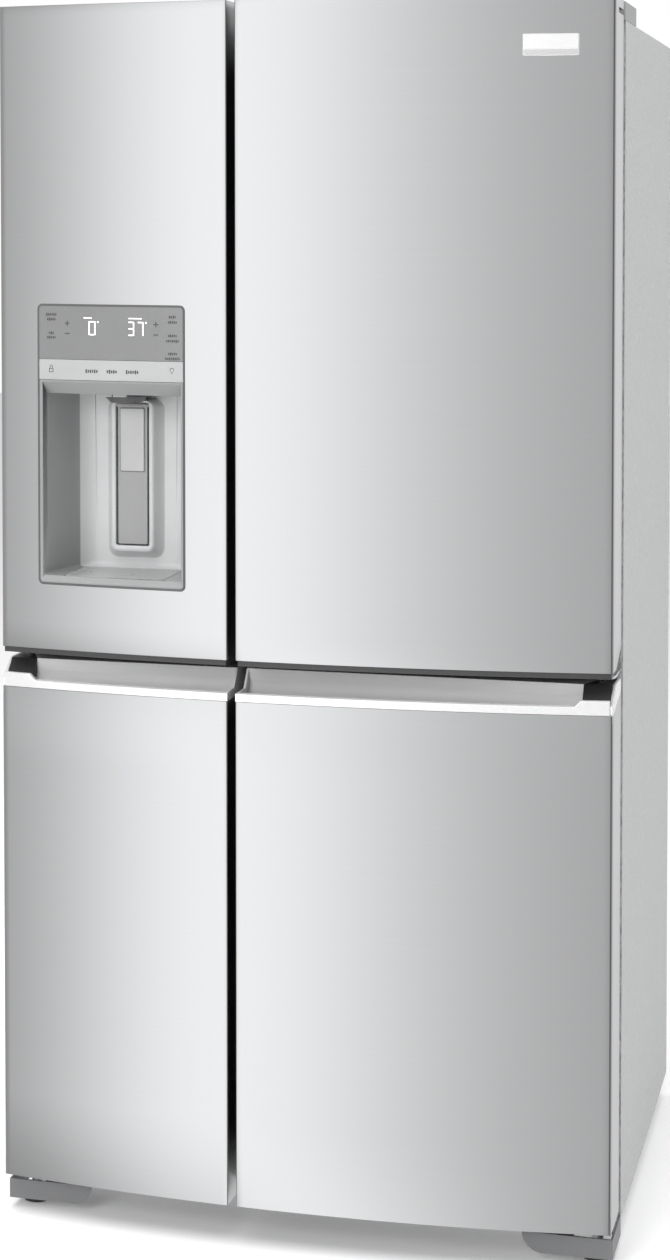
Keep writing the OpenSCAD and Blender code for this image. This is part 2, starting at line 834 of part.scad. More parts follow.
// Open bins hung between the sides of the ring
module door_bins(x, levels, h) {
    x0 = x[0] + liner_t + dyke_clear + dyke_w;
    x1 = x[1] - liner_t - dyke_clear - dyke_w;
    y0 = door_back + liner_t;
    y1 = y0 + 106;
    for (z = levels) difference() {
        block([x0, y0, z], [x1, y1, z + h]);
        block([x0 + bin_t, y0 + bin_t, z + bin_t], [x1 - bin_t, y1 - bin_t, z + h + eps]);
    }
}

module freezer_door_skin() {
    color("lightslategray") difference() {
        upper_skin(freezer_door, -1);
        block([disp_x[0], crown_y - eps, disp_z[0]], [disp_x[1], door_back - 40, disp_z[1]]);
    }
}

module fridge_door_skin() {
    color("lightslategray") upper_skin(fridge_door, 1);
}

module freezer_door_caps() {
    color("dimgray") upper_caps(freezer_door, -1);
}

module fridge_door_caps() {
    color("dimgray") upper_caps(fridge_door, 1);
}

bulge_x = [disp_x[0] + 14, disp_x[1] - 14];
bulge_back = recess_back + 9;

module freezer_door_liner() {
    color("white") difference() {
        union() {
            difference() {
                door_panel(freezer_door, freezer_x, upper_z, dyke_h, clip_play);
                block([bulge_x[0], door_back - eps, disp_z[0]],
                      [bulge_x[1], door_back + liner_t + eps, disp_z[1]]);
            }
            block([bulge_x[0] + clip_play, door_back, disp_z[0] + clip_play],
                  [bulge_x[1] - clip_play, bulge_back, disp_z[1] - clip_play]);
        }
        block([bulge_x[0] + liner_t, door_back - eps, disp_z[0] + liner_t],
              [bulge_x[1] - liner_t, bulge_back - liner_t, disp_z[1] - liner_t]);
    }
}

module fridge_door_liner() {
    color("white") door_panel(fridge_door, fridge_x, upper_z, dyke_h, clip_play);
}

module freezer_door_gasket() {
    door_gasket(freezer_x, upper_z);
}

module fridge_door_gasket() {
    door_gasket(fridge_x, upper_z);
}

module freezer_door_bins() {
    step = (upper_z[1] - disp_z[1] - 55) / 2;
    color("azure", 0.7) door_bins(freezer_x, [disp_z[1] + 40, disp_z[1] + 40 + step], step - 50);
}

module fridge_door_bins() {
    step = (upper_z[1] - upper_z[0] - 120) / 3;
    color("azure", 0.7) door_bins(fridge_x, [for (i = [0:2]) upper_z[0] + 40 + i * step], 110);
}

// ---------- Dispenser ----------

// Outline seen from above of the housing behind the door front
module housing_plan() {
    polygon([
        [disp_x[0] + frame_w, crown_y], [disp_x[1] - frame_w, crown_y],
        [disp_x[1] - frame_w, recess_back - 64], [disp_x[1] - recess_taper, recess_back + 3],
        [disp_x[0] + recess_taper, recess_back + 3], [disp_x[0] + frame_w, recess_back - 64]
    ]);
}

module recess_plan() {
    wall = 3;
    polygon([
        [disp_x[0] + frame_w + wall, crown_y - eps], [disp_x[1] - frame_w - wall, crown_y - eps],
        [disp_x[1] - frame_w - wall, disp_front + 12],
        [disp_x[1] - recess_taper - wall, recess_back], [disp_x[0] + recess_taper + wall, recess_back],
        [disp_x[0] + frame_w + wall, disp_front + 12]
    ]);
}

module dispenser_housing() {
    ear = 5;
    rim = 33;
    color("gainsboro") difference() {
        union() {
            // dark frame on the door's surface
            intersection() {
                behind_bow(disp_z[0] - eps, disp_z[1] + eps, -1.5);
                along_y(crown_y - 5, door_back - 60) difference() {
                    translate([disp_x[0], disp_z[0]]) square([dispenser_w, dispenser_h]);
                    translate([disp_x[0] + frame_w, disp_z[0] + frame_w])
                        square([dispenser_w - 2 * frame_w, dispenser_h - 2 * frame_w]);
                }
            }
            // recess walls
            difference() {
                intersection() {
                    behind_bow(disp_z[0], disp_z[1]);
                    translate([0, 0, disp_z[0] + frame_w]) linear_extrude(band_z - disp_z[0] - frame_w)
                        housing_plan();
                }
                translate([0, 0, recess_floor]) linear_extrude(recess_roof - recess_floor) recess_plan();
                along_x(disp_x[0] + frame_w + 3, disp_x[1] - frame_w - 3) polygon([
                    [crown_y - 1, recess_roof - 1], [disp_front + 20, recess_roof - 1],
                    [disp_front + 20, recess_roof], [disp_front, band_z - 1], [crown_y - 1, band_z - 1]
                ]);
            }
            // raised rim and hinge ears of the paddle
            along_y(recess_back - 6, recess_back + eps) difference() {
                translate([disp_cx - rim, paddle_z - paddle_h - 9]) square([2 * rim, paddle_h + 17]);
                translate([disp_cx - rim + ear, paddle_z - paddle_h - 4]) square([2 * (rim - ear), paddle_h + 7]);
            }
            for (s = [-1, 1])
                along_x(disp_cx + s * 29.5 - 2.5, disp_cx + s * 29.5 + 2.5) polygon([
                    [paddle_y - 5, paddle_z - 8], [recess_back, paddle_z - 8],
                    [recess_back, paddle_z + 8], [paddle_y - 5, paddle_z + 5]
                ]);
        }
        bar_x(disp_cx - 30.5, disp_cx + 30.5, paddle_y, paddle_z, paddle_pin_r + pin_play);
        block([disp_cx - tray_half - 1, tray_y[0] - 1, recess_floor - 8],
              [disp_cx + tray_half + 1, tray_y[1] + 1, recess_floor + eps]);
    }
}

module display_panel() {
    color("dimgray") intersection() {
        difference() {
            behind_bow(band_z, disp_z[1], -1);
            behind_bow(band_z - eps, disp_z[1] + eps, panel_t);
        }
        block([disp_x[0] + frame_w, crown_y - 5, band_z], [disp_x[1] - frame_w, door_back, disp_z[1] - frame_w]);
    }
}

module dispenser_nozzle() {
    color("black") intersection() {
        translate([disp_cx, nozzle_y, recess_roof - 16]) rotate_extrude() polygon([
            [14, 0], [24, 0], [32, 9], [32, 16], [14, 16]
        ]);
        block([disp_cx - 40, nozzle_y - 40, recess_roof - 20], [disp_cx + 40, nozzle_y + 40, recess_roof]);
    }
}

module dispenser_paddle() {
    color("lightgray") union() {
        block([disp_cx - paddle_w / 2, paddle_y - 3, paddle_z - paddle_h],
              [disp_cx + paddle_w / 2, paddle_y + 3, paddle_z]);
        bar_x(disp_cx - 30, disp_cx + 30, paddle_y, paddle_z, paddle_pin_r);
    }
}

module drip_tray() {
    color("silver") difference() {
        block([disp_cx - tray_half, tray_y[0], recess_floor - 7.5],
              [disp_cx + tray_half, tray_y[1], recess_floor + 2]);
        for (i = [0:11])
            block([disp_cx - tray_half + 10 + i * 11.6, tray_y[0] + 10, recess_floor - 5],
                  [disp_cx - tray_half + 17 + i * 11.6, tray_y[1] - 10, recess_floor + 2 + eps]);
    }
}

// ---------- Lower doors ----------

// Everything of a lower door above its steel
module above_steel() {
    along_x(-half_w - eps, half_w + eps) polygon([
        [crown_y - eps, lip_z], [edge_y + corner_flat, lip_z], [door_back + eps, lip_z + side_rise],
        [door_back + eps, lower_top + eps], [crown_y - eps, lower_top + eps]
    ]);
}

module lower_skin(door) {
    color("lightslategray") difference() {
        door_body(door, door[2], door[3]);
        door_body(door, door[2] - eps, door[3] + eps, skin_t, door_back + eps);
        above_steel();
    }
}

// The bright lip, the raised part beside the hinge block and the end post
module lower_trim(door, side) {
    raise = 9;
    color("whitesmoke") {
        difference() {
            door_body(door, lip_z, lip_z + lip_h);
            behind_bow(lip_z - eps, lip_z + lip_h + eps, lip_t);
            on_side(side) block([half_w - post_t, crown_y, lip_z - eps], [half_w + eps, door_back, lower_top]);
        }
        on_side(side) {
            intersection() {
                difference() {
                    behind_bow(lip_z + lip_h, lip_z + lip_h + raise);
                    behind_bow(lip_z, lower_top, lip_t);
                }
                along_y(crown_y, door_back) polygon([
                    [half_w - post_t, lip_z + lip_h], [half_w - post_t, lip_z + lip_h + raise],
                    [half_w - post_t - block_w, lip_z + lip_h + raise],
                    [half_w - post_t - block_w - raise, lip_z + lip_h]
                ]);
            }
            intersection() {
                along_x(half_w - post_t, half_w) polygon([
                    [edge_y - 1, lip_z], [edge_y - 1, lip_z + lip_h], [edge_y + post_lean, lower_top],
                    [door_back, lower_top], [door_back, lip_z + side_rise], [edge_y + corner_flat, lip_z]
                ]);
                behind_bow(lip_z, lower_top);
            }
        }
    }
}

module lower_caps(door, side) {
    color("darkgray") difference() {
        union() {
            // top moulding with the hand pocket
            intersection() {
                door_body(door, mould_z, lower_top, skin_t);
                along_x(-half_w, half_w) polygon([
                    [crown_y, mould_z], [crown_y, lip_z + lip_h], [edge_y + lip_t, lip_z + lip_h],
                    [pocket_y, lower_top], [door_back, lower_top], [door_back, mould_z]
                ]);
            }
            door_body(door, door[2], door[2] + cap_h, skin_t);
        }
        // the lip's place
        difference() {
            block([-half_w, crown_y - eps, lip_z], [half_w, door_back, lip_z + lip_h + 9]);
            behind_bow(lip_z - eps, lower_top, lip_t);
        }
        // the end post's place
        on_side(side) along_x(half_w - post_t, half_w + eps) polygon([
            [crown_y, lip_z], [edge_y + corner_flat, lip_z], [door_back + eps, lip_z + side_rise],
            [door_back + eps, lower_top + eps], [crown_y, lower_top + eps]
        ]);
        // the hand pocket, open upwards
        intersection() {
            behind_bow(pocket_z - eps, lower_top + 2 * eps, lip_t + 1);
            along_x(side > 0 ? door[0] + skin_t + end_wall : -half_w + post_t + block_w,
                    side > 0 ? half_w - post_t - block_w : door[1] - skin_t - end_wall) {
                translate([crown_y, pocket_z]) square([pocket_y - pocket_r - crown_y, lower_top - pocket_z + eps]);
                translate([pocket_y - pocket_r, pocket_z + pocket_r]) circle(r = pocket_r);
                translate([pocket_y - pocket_r - eps, pocket_z + pocket_r])
                    square([pocket_r + eps, lower_top - pocket_z - pocket_r + eps]);
            }
        }
        on_side(side) {
            pin_bore(lower_top - pin_l - 2, lower_top + eps);
            pin_bore(door[2] - eps, door[2] + pin_l + 2);
        }
    }
}

module lower_panel(door, x) {
    ring_h = 13;
    ring_y = door_back + liner_t;
    color("white") {
        block([door[0] + 4, door_back, door[2] + 2], [door[1] - 4, ring_y, door[3] - 2]);
        along_y(ring_y - eps, ring_y + ring_h)
            opening_ring(x, lower_z, -liner_t - dyke_clear, -liner_t - dyke_clear - dyke_w);
    }
}

module lower_freezer_door_skin() {
    lower_skin(lower_freezer_door);
}

module lower_freezer_door_caps() {
    lower_caps(lower_freezer_door, -1);
}

module lower_freezer_door_liner() {
    lower_panel(lower_freezer_door, freezer_x);
}

module lower_freezer_door_gasket() {
    door_gasket(freezer_x, lower_z);
}

module lower_freezer_door_trim() {
    lower_trim(lower_freezer_door, -1);
}

module lower_fridge_door_skin() {
    lower_skin(lower_fridge_door);
}

module lower_fridge_door_caps() {
    lower_caps(lower_fridge_door, 1);
}

module lower_fridge_door_liner() {
    lower_panel(lower_fridge_door, fridge_x);
}

module lower_fridge_door_gasket() {
    door_gasket(fridge_x, lower_z);
}

module lower_fridge_door_trim() {
    lower_trim(lower_fridge_door, 1);
}

// ---------- Nodes ----------

cabinet_shell();
rear_panel();
base_frame();
cabinet_foam();
freezer_liner();
fridge_liner();
mullion_covers();
hinge_plates();
hinge_covers();
leg_covers();
glass_shelves();
shelf_frames();
freezer_shelves();
drawer_runners();
air_duct();
evaporator_cover();
evaporator();
fan_motors();
compressor();
condenser();
machine_cover();
water_valve();
power_inlet();
ceiling_lights();
ice_maker();
ice_bin();
evaporator_fan();
condenser_fan();
upper_crisper();
lower_crisper();
upper_basket();
lower_basket();
left_foot();
right_foot();
rear_rollers();
freezer_door_skin();
freezer_door_caps();
freezer_door_liner();
freezer_door_gasket();
freezer_door_bins();
dispenser_housing();
display_panel();
dispenser_nozzle();
dispenser_paddle();
drip_tray();
fridge_door_skin();
fridge_door_caps();
fridge_door_liner();
fridge_door_gasket();
fridge_door_bins();
lower_freezer_door_skin();
lower_freezer_door_caps();
lower_freezer_door_liner();
lower_freezer_door_gasket();
lower_freezer_door_trim();
lower_fridge_door_skin();
lower_fridge_door_caps();
lower_fridge_door_liner();
lower_fridge_door_gasket();
lower_fridge_door_trim();
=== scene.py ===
"""Looks of the four-door refrigerator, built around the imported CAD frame. Metres, +Z up, doors face -Y."""
import math

import bmesh
import bpy
from mathutils import Matrix, Vector


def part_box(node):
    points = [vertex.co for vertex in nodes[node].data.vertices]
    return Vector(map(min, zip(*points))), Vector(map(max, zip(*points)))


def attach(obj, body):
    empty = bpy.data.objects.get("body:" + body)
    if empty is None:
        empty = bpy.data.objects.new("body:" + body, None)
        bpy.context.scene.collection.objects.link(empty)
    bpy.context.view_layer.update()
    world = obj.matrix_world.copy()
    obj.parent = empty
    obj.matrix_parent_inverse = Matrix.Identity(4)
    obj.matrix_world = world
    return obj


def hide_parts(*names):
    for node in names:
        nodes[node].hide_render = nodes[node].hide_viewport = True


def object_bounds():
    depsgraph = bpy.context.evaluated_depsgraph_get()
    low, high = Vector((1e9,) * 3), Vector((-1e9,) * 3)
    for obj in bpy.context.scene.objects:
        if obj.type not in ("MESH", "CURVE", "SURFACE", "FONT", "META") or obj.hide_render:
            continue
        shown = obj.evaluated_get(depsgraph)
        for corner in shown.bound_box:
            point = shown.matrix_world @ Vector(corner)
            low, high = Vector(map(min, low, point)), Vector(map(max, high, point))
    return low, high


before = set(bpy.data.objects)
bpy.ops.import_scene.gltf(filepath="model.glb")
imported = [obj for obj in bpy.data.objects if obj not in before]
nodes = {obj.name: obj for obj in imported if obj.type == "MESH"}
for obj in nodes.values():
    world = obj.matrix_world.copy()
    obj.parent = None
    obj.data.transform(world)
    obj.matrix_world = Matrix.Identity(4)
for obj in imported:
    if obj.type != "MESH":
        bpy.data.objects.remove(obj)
cad_lo, cad_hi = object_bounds()

# ---------- Driving dimensions, taken from the frame ----------

HALF_W = cad_hi.x
CROWN_Y = cad_lo.y
BOW = 0.033
EDGE_Y = CROWN_Y + BOW
BOW_R = (HALF_W**2 + BOW**2) / (2 * BOW)
BOW_CY = CROWN_Y + BOW_R
DOOR_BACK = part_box("fridge_door_skin")[1].y
SKIN_T = 0.001
EDGE_R = 0.0045
FREE_R = 0.0018
HEM = 0.0012

LIP_LO, LIP_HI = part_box("lower_fridge_door_trim")[0].z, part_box("lower_fridge_door_trim")[0].z + 0.012
LOWER_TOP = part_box("lower_fridge_door_trim")[1].z
POST_T = 0.005
BLOCK_W = 0.040
POST_LEAN = 0.033
LIP_T = 0.007
LIP_RAISE = 0.009

DISP_LO, DISP_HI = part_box("dispenser_housing")
FRAME_W = 0.003
BAND_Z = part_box("display_panel")[0].z
BAND_H = 0.030
PADDLE_LO, PADDLE_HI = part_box("dispenser_paddle")
TRAY_LO, TRAY_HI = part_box("drip_tray")


def bow_y(x, inset=0.0):
    """Y of the bowed door front at x, set back by inset."""
    return BOW_CY - math.sqrt((BOW_R - inset) ** 2 - x * x)


# ---------- Materials ----------


def new_material(name):
    """A node material with its shader, and a helper that adds nodes to it."""
    mat = bpy.data.materials.new(name)
    mat.use_nodes = True
    tree = mat.node_tree
    shader = tree.nodes["Principled BSDF"]

    def add(kind, **values):
        node = tree.nodes.new(kind)
        for key, value in values.items():
            if hasattr(node, key):
                setattr(node, key, value)
            else:
                node.inputs[key.replace("_", " ")].default_value = value
        return node

    return mat, tree, shader, add


def noise_chain(tree, add, scale, detail=3.0, stretch=(1, 1, 1)):
    """Noise in object space, stretched along the axes."""
    coord = add("ShaderNodeTexCoord")
    mapping = add("ShaderNodeMapping")
    mapping.inputs["Scale"].default_value = stretch
    noise = add("ShaderNodeTexNoise", Scale=scale, Detail=detail)
    tree.links.new(coord.outputs["Object"], mapping.inputs["Vector"])
    tree.links.new(mapping.outputs["Vector"], noise.inputs["Vector"])
    return noise


def tint(tree, add, noise, shader, color, amount):
    """Lets the colour wander by amount around its base with the noise."""
    ramp = add("ShaderNodeValToRGB")
    low, high = ramp.color_ramp.elements
    low.position, high.position = 0.3, 0.7
    low.color = (*[c * (1 - amount) for c in color], 1)
    high.color = (*[min(1, c * (1 + amount)) for c in color], 1)
    tree.links.new(noise.outputs["Fac"], ramp.inputs["Fac"])
    tree.links.new(ramp.outputs["Color"], shader.inputs["Base Color"])


def wander(tree, add, noise, shader, low, high):
    """Lets the roughness wander between low and high with the noise."""
    remap = add("ShaderNodeMapRange")
    remap.inputs["From Min"].default_value = 0.3
    remap.inputs["From Max"].default_value = 0.7
    remap.inputs["To Min"].default_value = low
    remap.inputs["To Max"].default_value = high
    tree.links.new(noise.outputs["Fac"], remap.inputs["Value"])
    tree.links.new(remap.outputs["Result"], shader.inputs["Roughness"])


def bump(tree, add, height, shader, strength, distance):
    node = add("ShaderNodeBump", Strength=strength, Distance=distance)
    tree.links.new(height, node.inputs["Height"])
    tree.links.new(node.outputs["Normal"], shader.inputs["Normal"])


def plastic(name, color, rough=0.4, grain=900.0, relief=0.00004, uneven=0.06):
    """Moulded plastic with a fine grain and slightly uneven gloss."""
    mat, tree, shader, add = new_material(name)
    broad = noise_chain(tree, add, 14.0)
    tint(tree, add, broad, shader, color, uneven * 0.5)
    wander(tree, add, broad, shader, rough * (1 - uneven), rough * (1 + uneven))
    fine = noise_chain(tree, add, grain, 2.0)
    bump(tree, add, fine.outputs["Fac"], shader, 0.35, relief)
    return mat


def brushed_steel(name, color, rough, anisotropy, along=(3.0, 3.0, 1400.0)):
    """Steel with long fine scratches across the doors."""
    mat, tree, shader, add = new_material(name)
    shader.inputs["Metallic"].default_value = 1.0
    shader.inputs["Anisotropic"].default_value = anisotropy
    shader.inputs["Anisotropic Rotation"].default_value = 0.25
    tangent = add("ShaderNodeTangent", direction_type="RADIAL", axis="Z")
    tree.links.new(tangent.outputs["Tangent"], shader.inputs["Tangent"])
    lines = noise_chain(tree, add, 1.0, 4.0, along)
    tint(tree, add, lines, shader, color, 0.018)
    wander(tree, add, lines, shader, rough * 0.94, rough * 1.06)
    bump(tree, add, lines.outputs["Fac"], shader, 0.05, 0.00002)
    return mat


def stucco_paint(name, color, rough=0.42, cell=260.0, relief=0.00035):
    """Painted sheet with the pebbled emboss of a cabinet side."""
    mat, tree, shader, add = new_material(name)
    pebble = noise_chain(tree, add, cell, 2.5, (1, 1, 0.62))
    tint(tree, add, pebble, shader, color, 0.085)
    shape = add("ShaderNodeMapRange", interpolation_type="SMOOTHSTEP")
    shape.inputs["From Min"].default_value = 0.38
    shape.inputs["From Max"].default_value = 0.62
    tree.links.new(pebble.outputs["Fac"], shape.inputs["Value"])
    wander(tree, add, pebble, shader, rough * 0.9, rough * 1.15)
    bump(tree, add, shape.outputs["Result"], shader, 0.6, relief)
    return mat


def metal(name, color, rough, grain=300.0, metallic=1.0):
    mat, tree, shader, add = new_material(name)
    shader.inputs["Metallic"].default_value = metallic
    noise = noise_chain(tree, add, grain, 3.0)
    tint(tree, add, noise, shader, color, 0.03)
    wander(tree, add, noise, shader, rough * 0.8, rough * 1.2)
    bump(tree, add, noise.outputs["Fac"], shader, 0.1, 0.00002)
    return mat


def clear(name, color, rough):
    """Clear moulded plastic or glass, with a faint unevenness."""
    mat, tree, shader, add = new_material(name)
    noise = noise_chain(tree, add, 9.0)
    tint(tree, add, noise, shader, color, 0.01)
    wander(tree, add, noise, shader, rough * 0.8, rough * 1.2)
    shader.inputs["Transmission Weight"].default_value = 1.0
    shader.inputs["IOR"].default_value = 1.47
    return mat


def glow(name, color, strength):
    """Lit marks of the display."""
    mat, tree, shader, add = new_material(name)
    noise = noise_chain(tree, add, 40.0)
    tint(tree, add, noise, shader, color, 0.03)
    shader.inputs["Roughness"].default_value = 0.5
    shader.inputs["Emission Color"].default_value = (*color, 1)
    shader.inputs["Emission Strength"].default_value = strength
    return mat


STEEL = brushed_steel("door_steel", (0.60, 0.605, 0.605), 0.30, 0.75)
CHROME = metal("bright_chrome", (0.80, 0.80, 0.80), 0.12, metallic=0.45)
HINGE_STEEL = metal("hinge_steel", (0.82, 0.82, 0.83), 0.25)
GALVANISED = metal("galvanised_sheet", (0.60, 0.61, 0.62), 0.45, 60.0)
COIL = metal("coil_metal", (0.66, 0.67, 0.68), 0.38)
SIDE_PAINT = stucco_paint("side_paint", (0.46, 0.467, 0.464), 0.4, 190.0, 0.0020)
DARK_PAINT = plastic("mullion_paint", (0.035, 0.035, 0.036), 0.38, 500.0)
BLACK = plastic("black_plastic", (0.018, 0.018, 0.019), 0.42)
GREY_COVER = plastic("grey_cover", (0.30, 0.305, 0.305), 0.45, 500.0, 0.0001)
LEG_GREY = plastic("leg_cover_grey", (0.165, 0.167, 0.17), 0.4, 600.0, 0.0001)
CAP_GREY = plastic("cap_grey", (0.05, 0.05, 0.051), 0.42)
POCKET = plastic("pocket_grey", (0.62, 0.62, 0.62), 0.38)
HOUSING = plastic("dispenser_grey", (0.57, 0.58, 0.58), 0.3)
# Darker grey of the same housing plastic for the recess walls: painted shade.
WALL_SHADE_GREY = plastic("dispenser_wall_painted_shade", (0.28, 0.285, 0.285), 0.3)
# Near-black grey of the housing plastic: painted shadow in the gaps round the drip tray and the paddle pad.
GAP_SHADOW_GREY = plastic("dispenser_gap_painted_shadow", (0.16, 0.165, 0.165), 0.3)
RIM_GREY = plastic("rim_grey", (0.38, 0.385, 0.385), 0.28)
FRAME_DARK = plastic("frame_dark", (0.10, 0.10, 0.102), 0.3)
SCREEN = plastic("screen_grey", (0.19, 0.192, 0.192), 0.12, 900.0, 0.00001)
BAND = plastic("band_grey", (0.385, 0.388, 0.388), 0.3)
MARK = glow("lit_marks", (0.92, 0.93, 0.93), 0.9)
INK = plastic("icon_grey", (0.05, 0.05, 0.052), 0.4)
PADDLE_GREY = plastic("paddle_grey", (0.32, 0.32, 0.32), 0.35)
BADGE_WHITE = plastic("badge_white", (0.62, 0.62, 0.62), 0.3)
BADGE_GREY = plastic("badge_grey", (0.45, 0.45, 0.45), 0.3)
PAD = plastic("paddle_pad", (0.47, 0.47, 0.47), 0.35)
FOAM = plastic("foam", (0.72, 0.62, 0.36), 0.9, 240.0, 0.0004)
LINER = plastic("liner_white", (0.78, 0.79, 0.79), 0.3)
WHITE = plastic("white_plastic", (0.74, 0.75, 0.75), 0.36)
LENS = glow("light_lens", (0.9, 0.9, 0.86), 0.25)
GLASS = clear("shelf_glass", (0.93, 0.98, 0.97), 0.03)
CLEAR = clear("clear_bins", (0.93, 0.96, 0.97), 0.06)
WIRE = plastic("wire_coating", (0.76, 0.76, 0.76), 0.25)
BLACK_STEEL = plastic("black_enamel", (0.02, 0.02, 0.021), 0.3, 400.0)
GASKET = plastic("gasket_dark", (0.035, 0.035, 0.037), 0.65, 500.0)
RUBBER = plastic("foot_black", (0.02, 0.02, 0.02), 0.6, 500.0, 0.0001)

NODE_LOOKS = {
    SIDE_PAINT: ["cabinet_shell"],
    GALVANISED: ["rear_panel", "base_frame"],
    DARK_PAINT: ["mullion_covers"],
    HINGE_STEEL: ["hinge_plates"],
    GREY_COVER: ["hinge_covers"],
    LEG_GREY: ["leg_covers"],
    CAP_GREY: ["freezer_door_caps", "fridge_door_caps"],
    BLACK: [
        "power_inlet", "fan_motors", "machine_cover",
        "evaporator_fan", "condenser_fan",
    ],
    FOAM: ["cabinet_foam"],
    LINER: [
        "freezer_liner", "fridge_liner", "freezer_door_liner", "fridge_door_liner",
        "lower_freezer_door_liner", "lower_fridge_door_liner",
    ],
    WHITE: [
        "shelf_frames", "drawer_runners", "air_duct", "evaporator_cover", "ice_maker", "ice_bin",
        "upper_basket", "lower_basket", "water_valve",
    ],
    LENS: ["ceiling_lights"],
    GLASS: ["glass_shelves"],
    CLEAR: ["upper_crisper", "lower_crisper", "freezer_door_bins", "fridge_door_bins"],
    WIRE: ["freezer_shelves"],
    COIL: ["evaporator"],
    BLACK_STEEL: ["compressor", "condenser"],
    GASKET: [
        "freezer_door_gasket", "fridge_door_gasket",
        "lower_freezer_door_gasket", "lower_fridge_door_gasket",
    ],
    RUBBER: ["left_foot", "right_foot", "rear_rollers"],
    POCKET: ["lower_freezer_door_caps", "lower_fridge_door_caps"],
    HOUSING: ["dispenser_housing"],
    BAND: ["display_panel"],
    FRAME_DARK: ["dispenser_nozzle"],
    PAD: ["dispenser_paddle"],
    RIM_GREY: ["drip_tray"],
    STEEL: [
        "freezer_door_skin", "fridge_door_skin", "lower_freezer_door_skin", "lower_fridge_door_skin",
    ],
    CHROME: ["lower_freezer_door_trim", "lower_fridge_door_trim"],
}
EDGE_BEVEL = {
    "cabinet_shell": 0.0012, "hinge_covers": 0.004, "leg_covers": 0.0012, "hinge_plates": 0.0006,
    "freezer_liner": 0.0008, "fridge_liner": 0.0008, "freezer_door_liner": 0.001,
    "fridge_door_liner": 0.001, "lower_freezer_door_liner": 0.001, "lower_fridge_door_liner": 0.001,
    "upper_crisper": 0.001, "lower_crisper": 0.001, "upper_basket": 0.001, "lower_basket": 0.001,
    "freezer_door_bins": 0.001, "fridge_door_bins": 0.001, "shelf_frames": 0.001,
    "freezer_shelves": 0.0012, "ice_bin": 0.001, "ice_maker": 0.001, "rear_panel": 0.0006,
    "air_duct": 0.002, "water_valve": 0.001, "power_inlet": 0.0008, "machine_cover": 0.0004,
    "freezer_door_gasket": 0.003, "fridge_door_gasket": 0.003, "lower_freezer_door_gasket": 0.003,
    "lower_fridge_door_gasket": 0.003, "freezer_door_caps": 0.0006, "fridge_door_caps": 0.0006,
    "lower_freezer_door_caps": 0.0007, "lower_fridge_door_caps": 0.0007,
}


def dress_node(name, mat):
    """Gives a CAD node its material and, where it has hard edges, a small rounding."""
    obj = nodes[name]
    obj.data.materials.clear()
    obj.data.materials.append(mat)
    if name in EDGE_BEVEL:
        weld = obj.modifiers.new("weld", "WELD")
        weld.merge_threshold = 0.00002
        edge = obj.modifiers.new("edge", "BEVEL")
        edge.width = EDGE_BEVEL[name]
        edge.segments = 2
        edge.limit_method = "ANGLE"
        edge.angle_limit = math.radians(40)
        edge.use_clamp_overlap = True
        edge.harden_normals = False


for look, names in NODE_LOOKS.items():
    for node_name in names:
        dress_node(node_name, look)

# ---------- Mesh helpers ----------


def piece(name, verts, faces, mat, body, replaced=(), slot=None, bevel=0.0, solid=0.0, angle=35):
    """A mesh piece that rides on a CAD body."""
    mesh = bpy.data.meshes.new(name)
    mesh.from_pydata([tuple(v) for v in verts], [], faces)
    work = bmesh.new()
    work.from_mesh(mesh)
    bmesh.ops.remove_doubles(work, verts=work.verts, dist=1e-6)
    bmesh.ops.recalc_face_normals(work, faces=work.faces)
    work.to_mesh(mesh)
    work.free()
    mesh.materials.append(mat)
    mesh.shade_smooth()
    mesh.set_sharp_from_angle(angle=math.radians(angle))
    obj = bpy.data.objects.new(name, mesh)
    bpy.context.scene.collection.objects.link(obj)
    if solid:
        wall = obj.modifiers.new("wall", "SOLIDIFY")
        wall.thickness = solid
        wall.offset = -1
    if bevel:
        edge = obj.modifiers.new("edge", "BEVEL")
        edge.width = bevel
        edge.segments = 3
        edge.limit_method = "ANGLE"
        edge.angle_limit = math.radians(35)
    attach(obj, body)
    if replaced:
        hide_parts(*replaced)
    return obj


def grid_faces(rows, columns, closed=False, skip=None, base=0):
    """Quads of a grid of vertices laid out row by row."""
    faces = []
    last = columns if closed else columns - 1
    for r in range(rows - 1):
        for c in range(last):
            if skip and skip(r, c):
                continue
            d = (c + 1) % columns
            faces.append([base + r * columns + c, base + r * columns + d,
                          base + (r + 1) * columns + d, base + (r + 1) * columns + c])
    return faces


def arc_points(cx, cy, r, start, end, count):
    """Points on a circle from one angle to another, in degrees."""
    return [
        (cx + r * math.cos(math.radians(start + (end - start) * i / count)),
         cy + r * math.sin(math.radians(start + (end - start) * i / count)))
        for i in range(count + 1)
    ]


def spread(a, b, count):
    return [a + (b - a) * i / count for i in range(count + 1)]


def outline(x0, x1, z0, z1, r_low, r_high, floor_xs=(), runs=1, count=6):
    """A closed outline with round corners, anticlockwise from the left, its long edges cut into short runs."""
    stops = [x0 + r_low, *floor_xs, x1 - r_low]
    low = [x for a, b in zip(stops, stops[1:]) for x in spread(a, b, runs)[:-1]][1:]
    high = spread(x1 - r_high, x0 + r_high, len(low) + 1)[1:-1]
    return [
        *arc_points(x0 + r_low, z0 + r_low, r_low, 180, 270, count), *[(x, z0) for x in low],
        *arc_points(x1 - r_low, z0 + r_low, r_low, -90, 0, count),
        *arc_points(x1 - r_high, z1 - r_high, r_high, 0, 90, count), *[(x, z1) for x in high],
        *arc_points(x0 + r_high, z1 - r_high, r_high, 90, 180, count),
    ]


def rounded_rect(x0, x1, z0, z1, r, count=6, runs=1):
    return outline(x0, x1, z0, z1, r, r, (), runs, count)


def lid(count, base=0):
    """Quads across a closed outline of an even number of points, from its upper half to its lower half."""
    return [[base + i, base + i + 1, base + count - 2 - i, base + count - 1 - i] for i in range(count // 2 - 1)]


# ---------- Door skins ----------


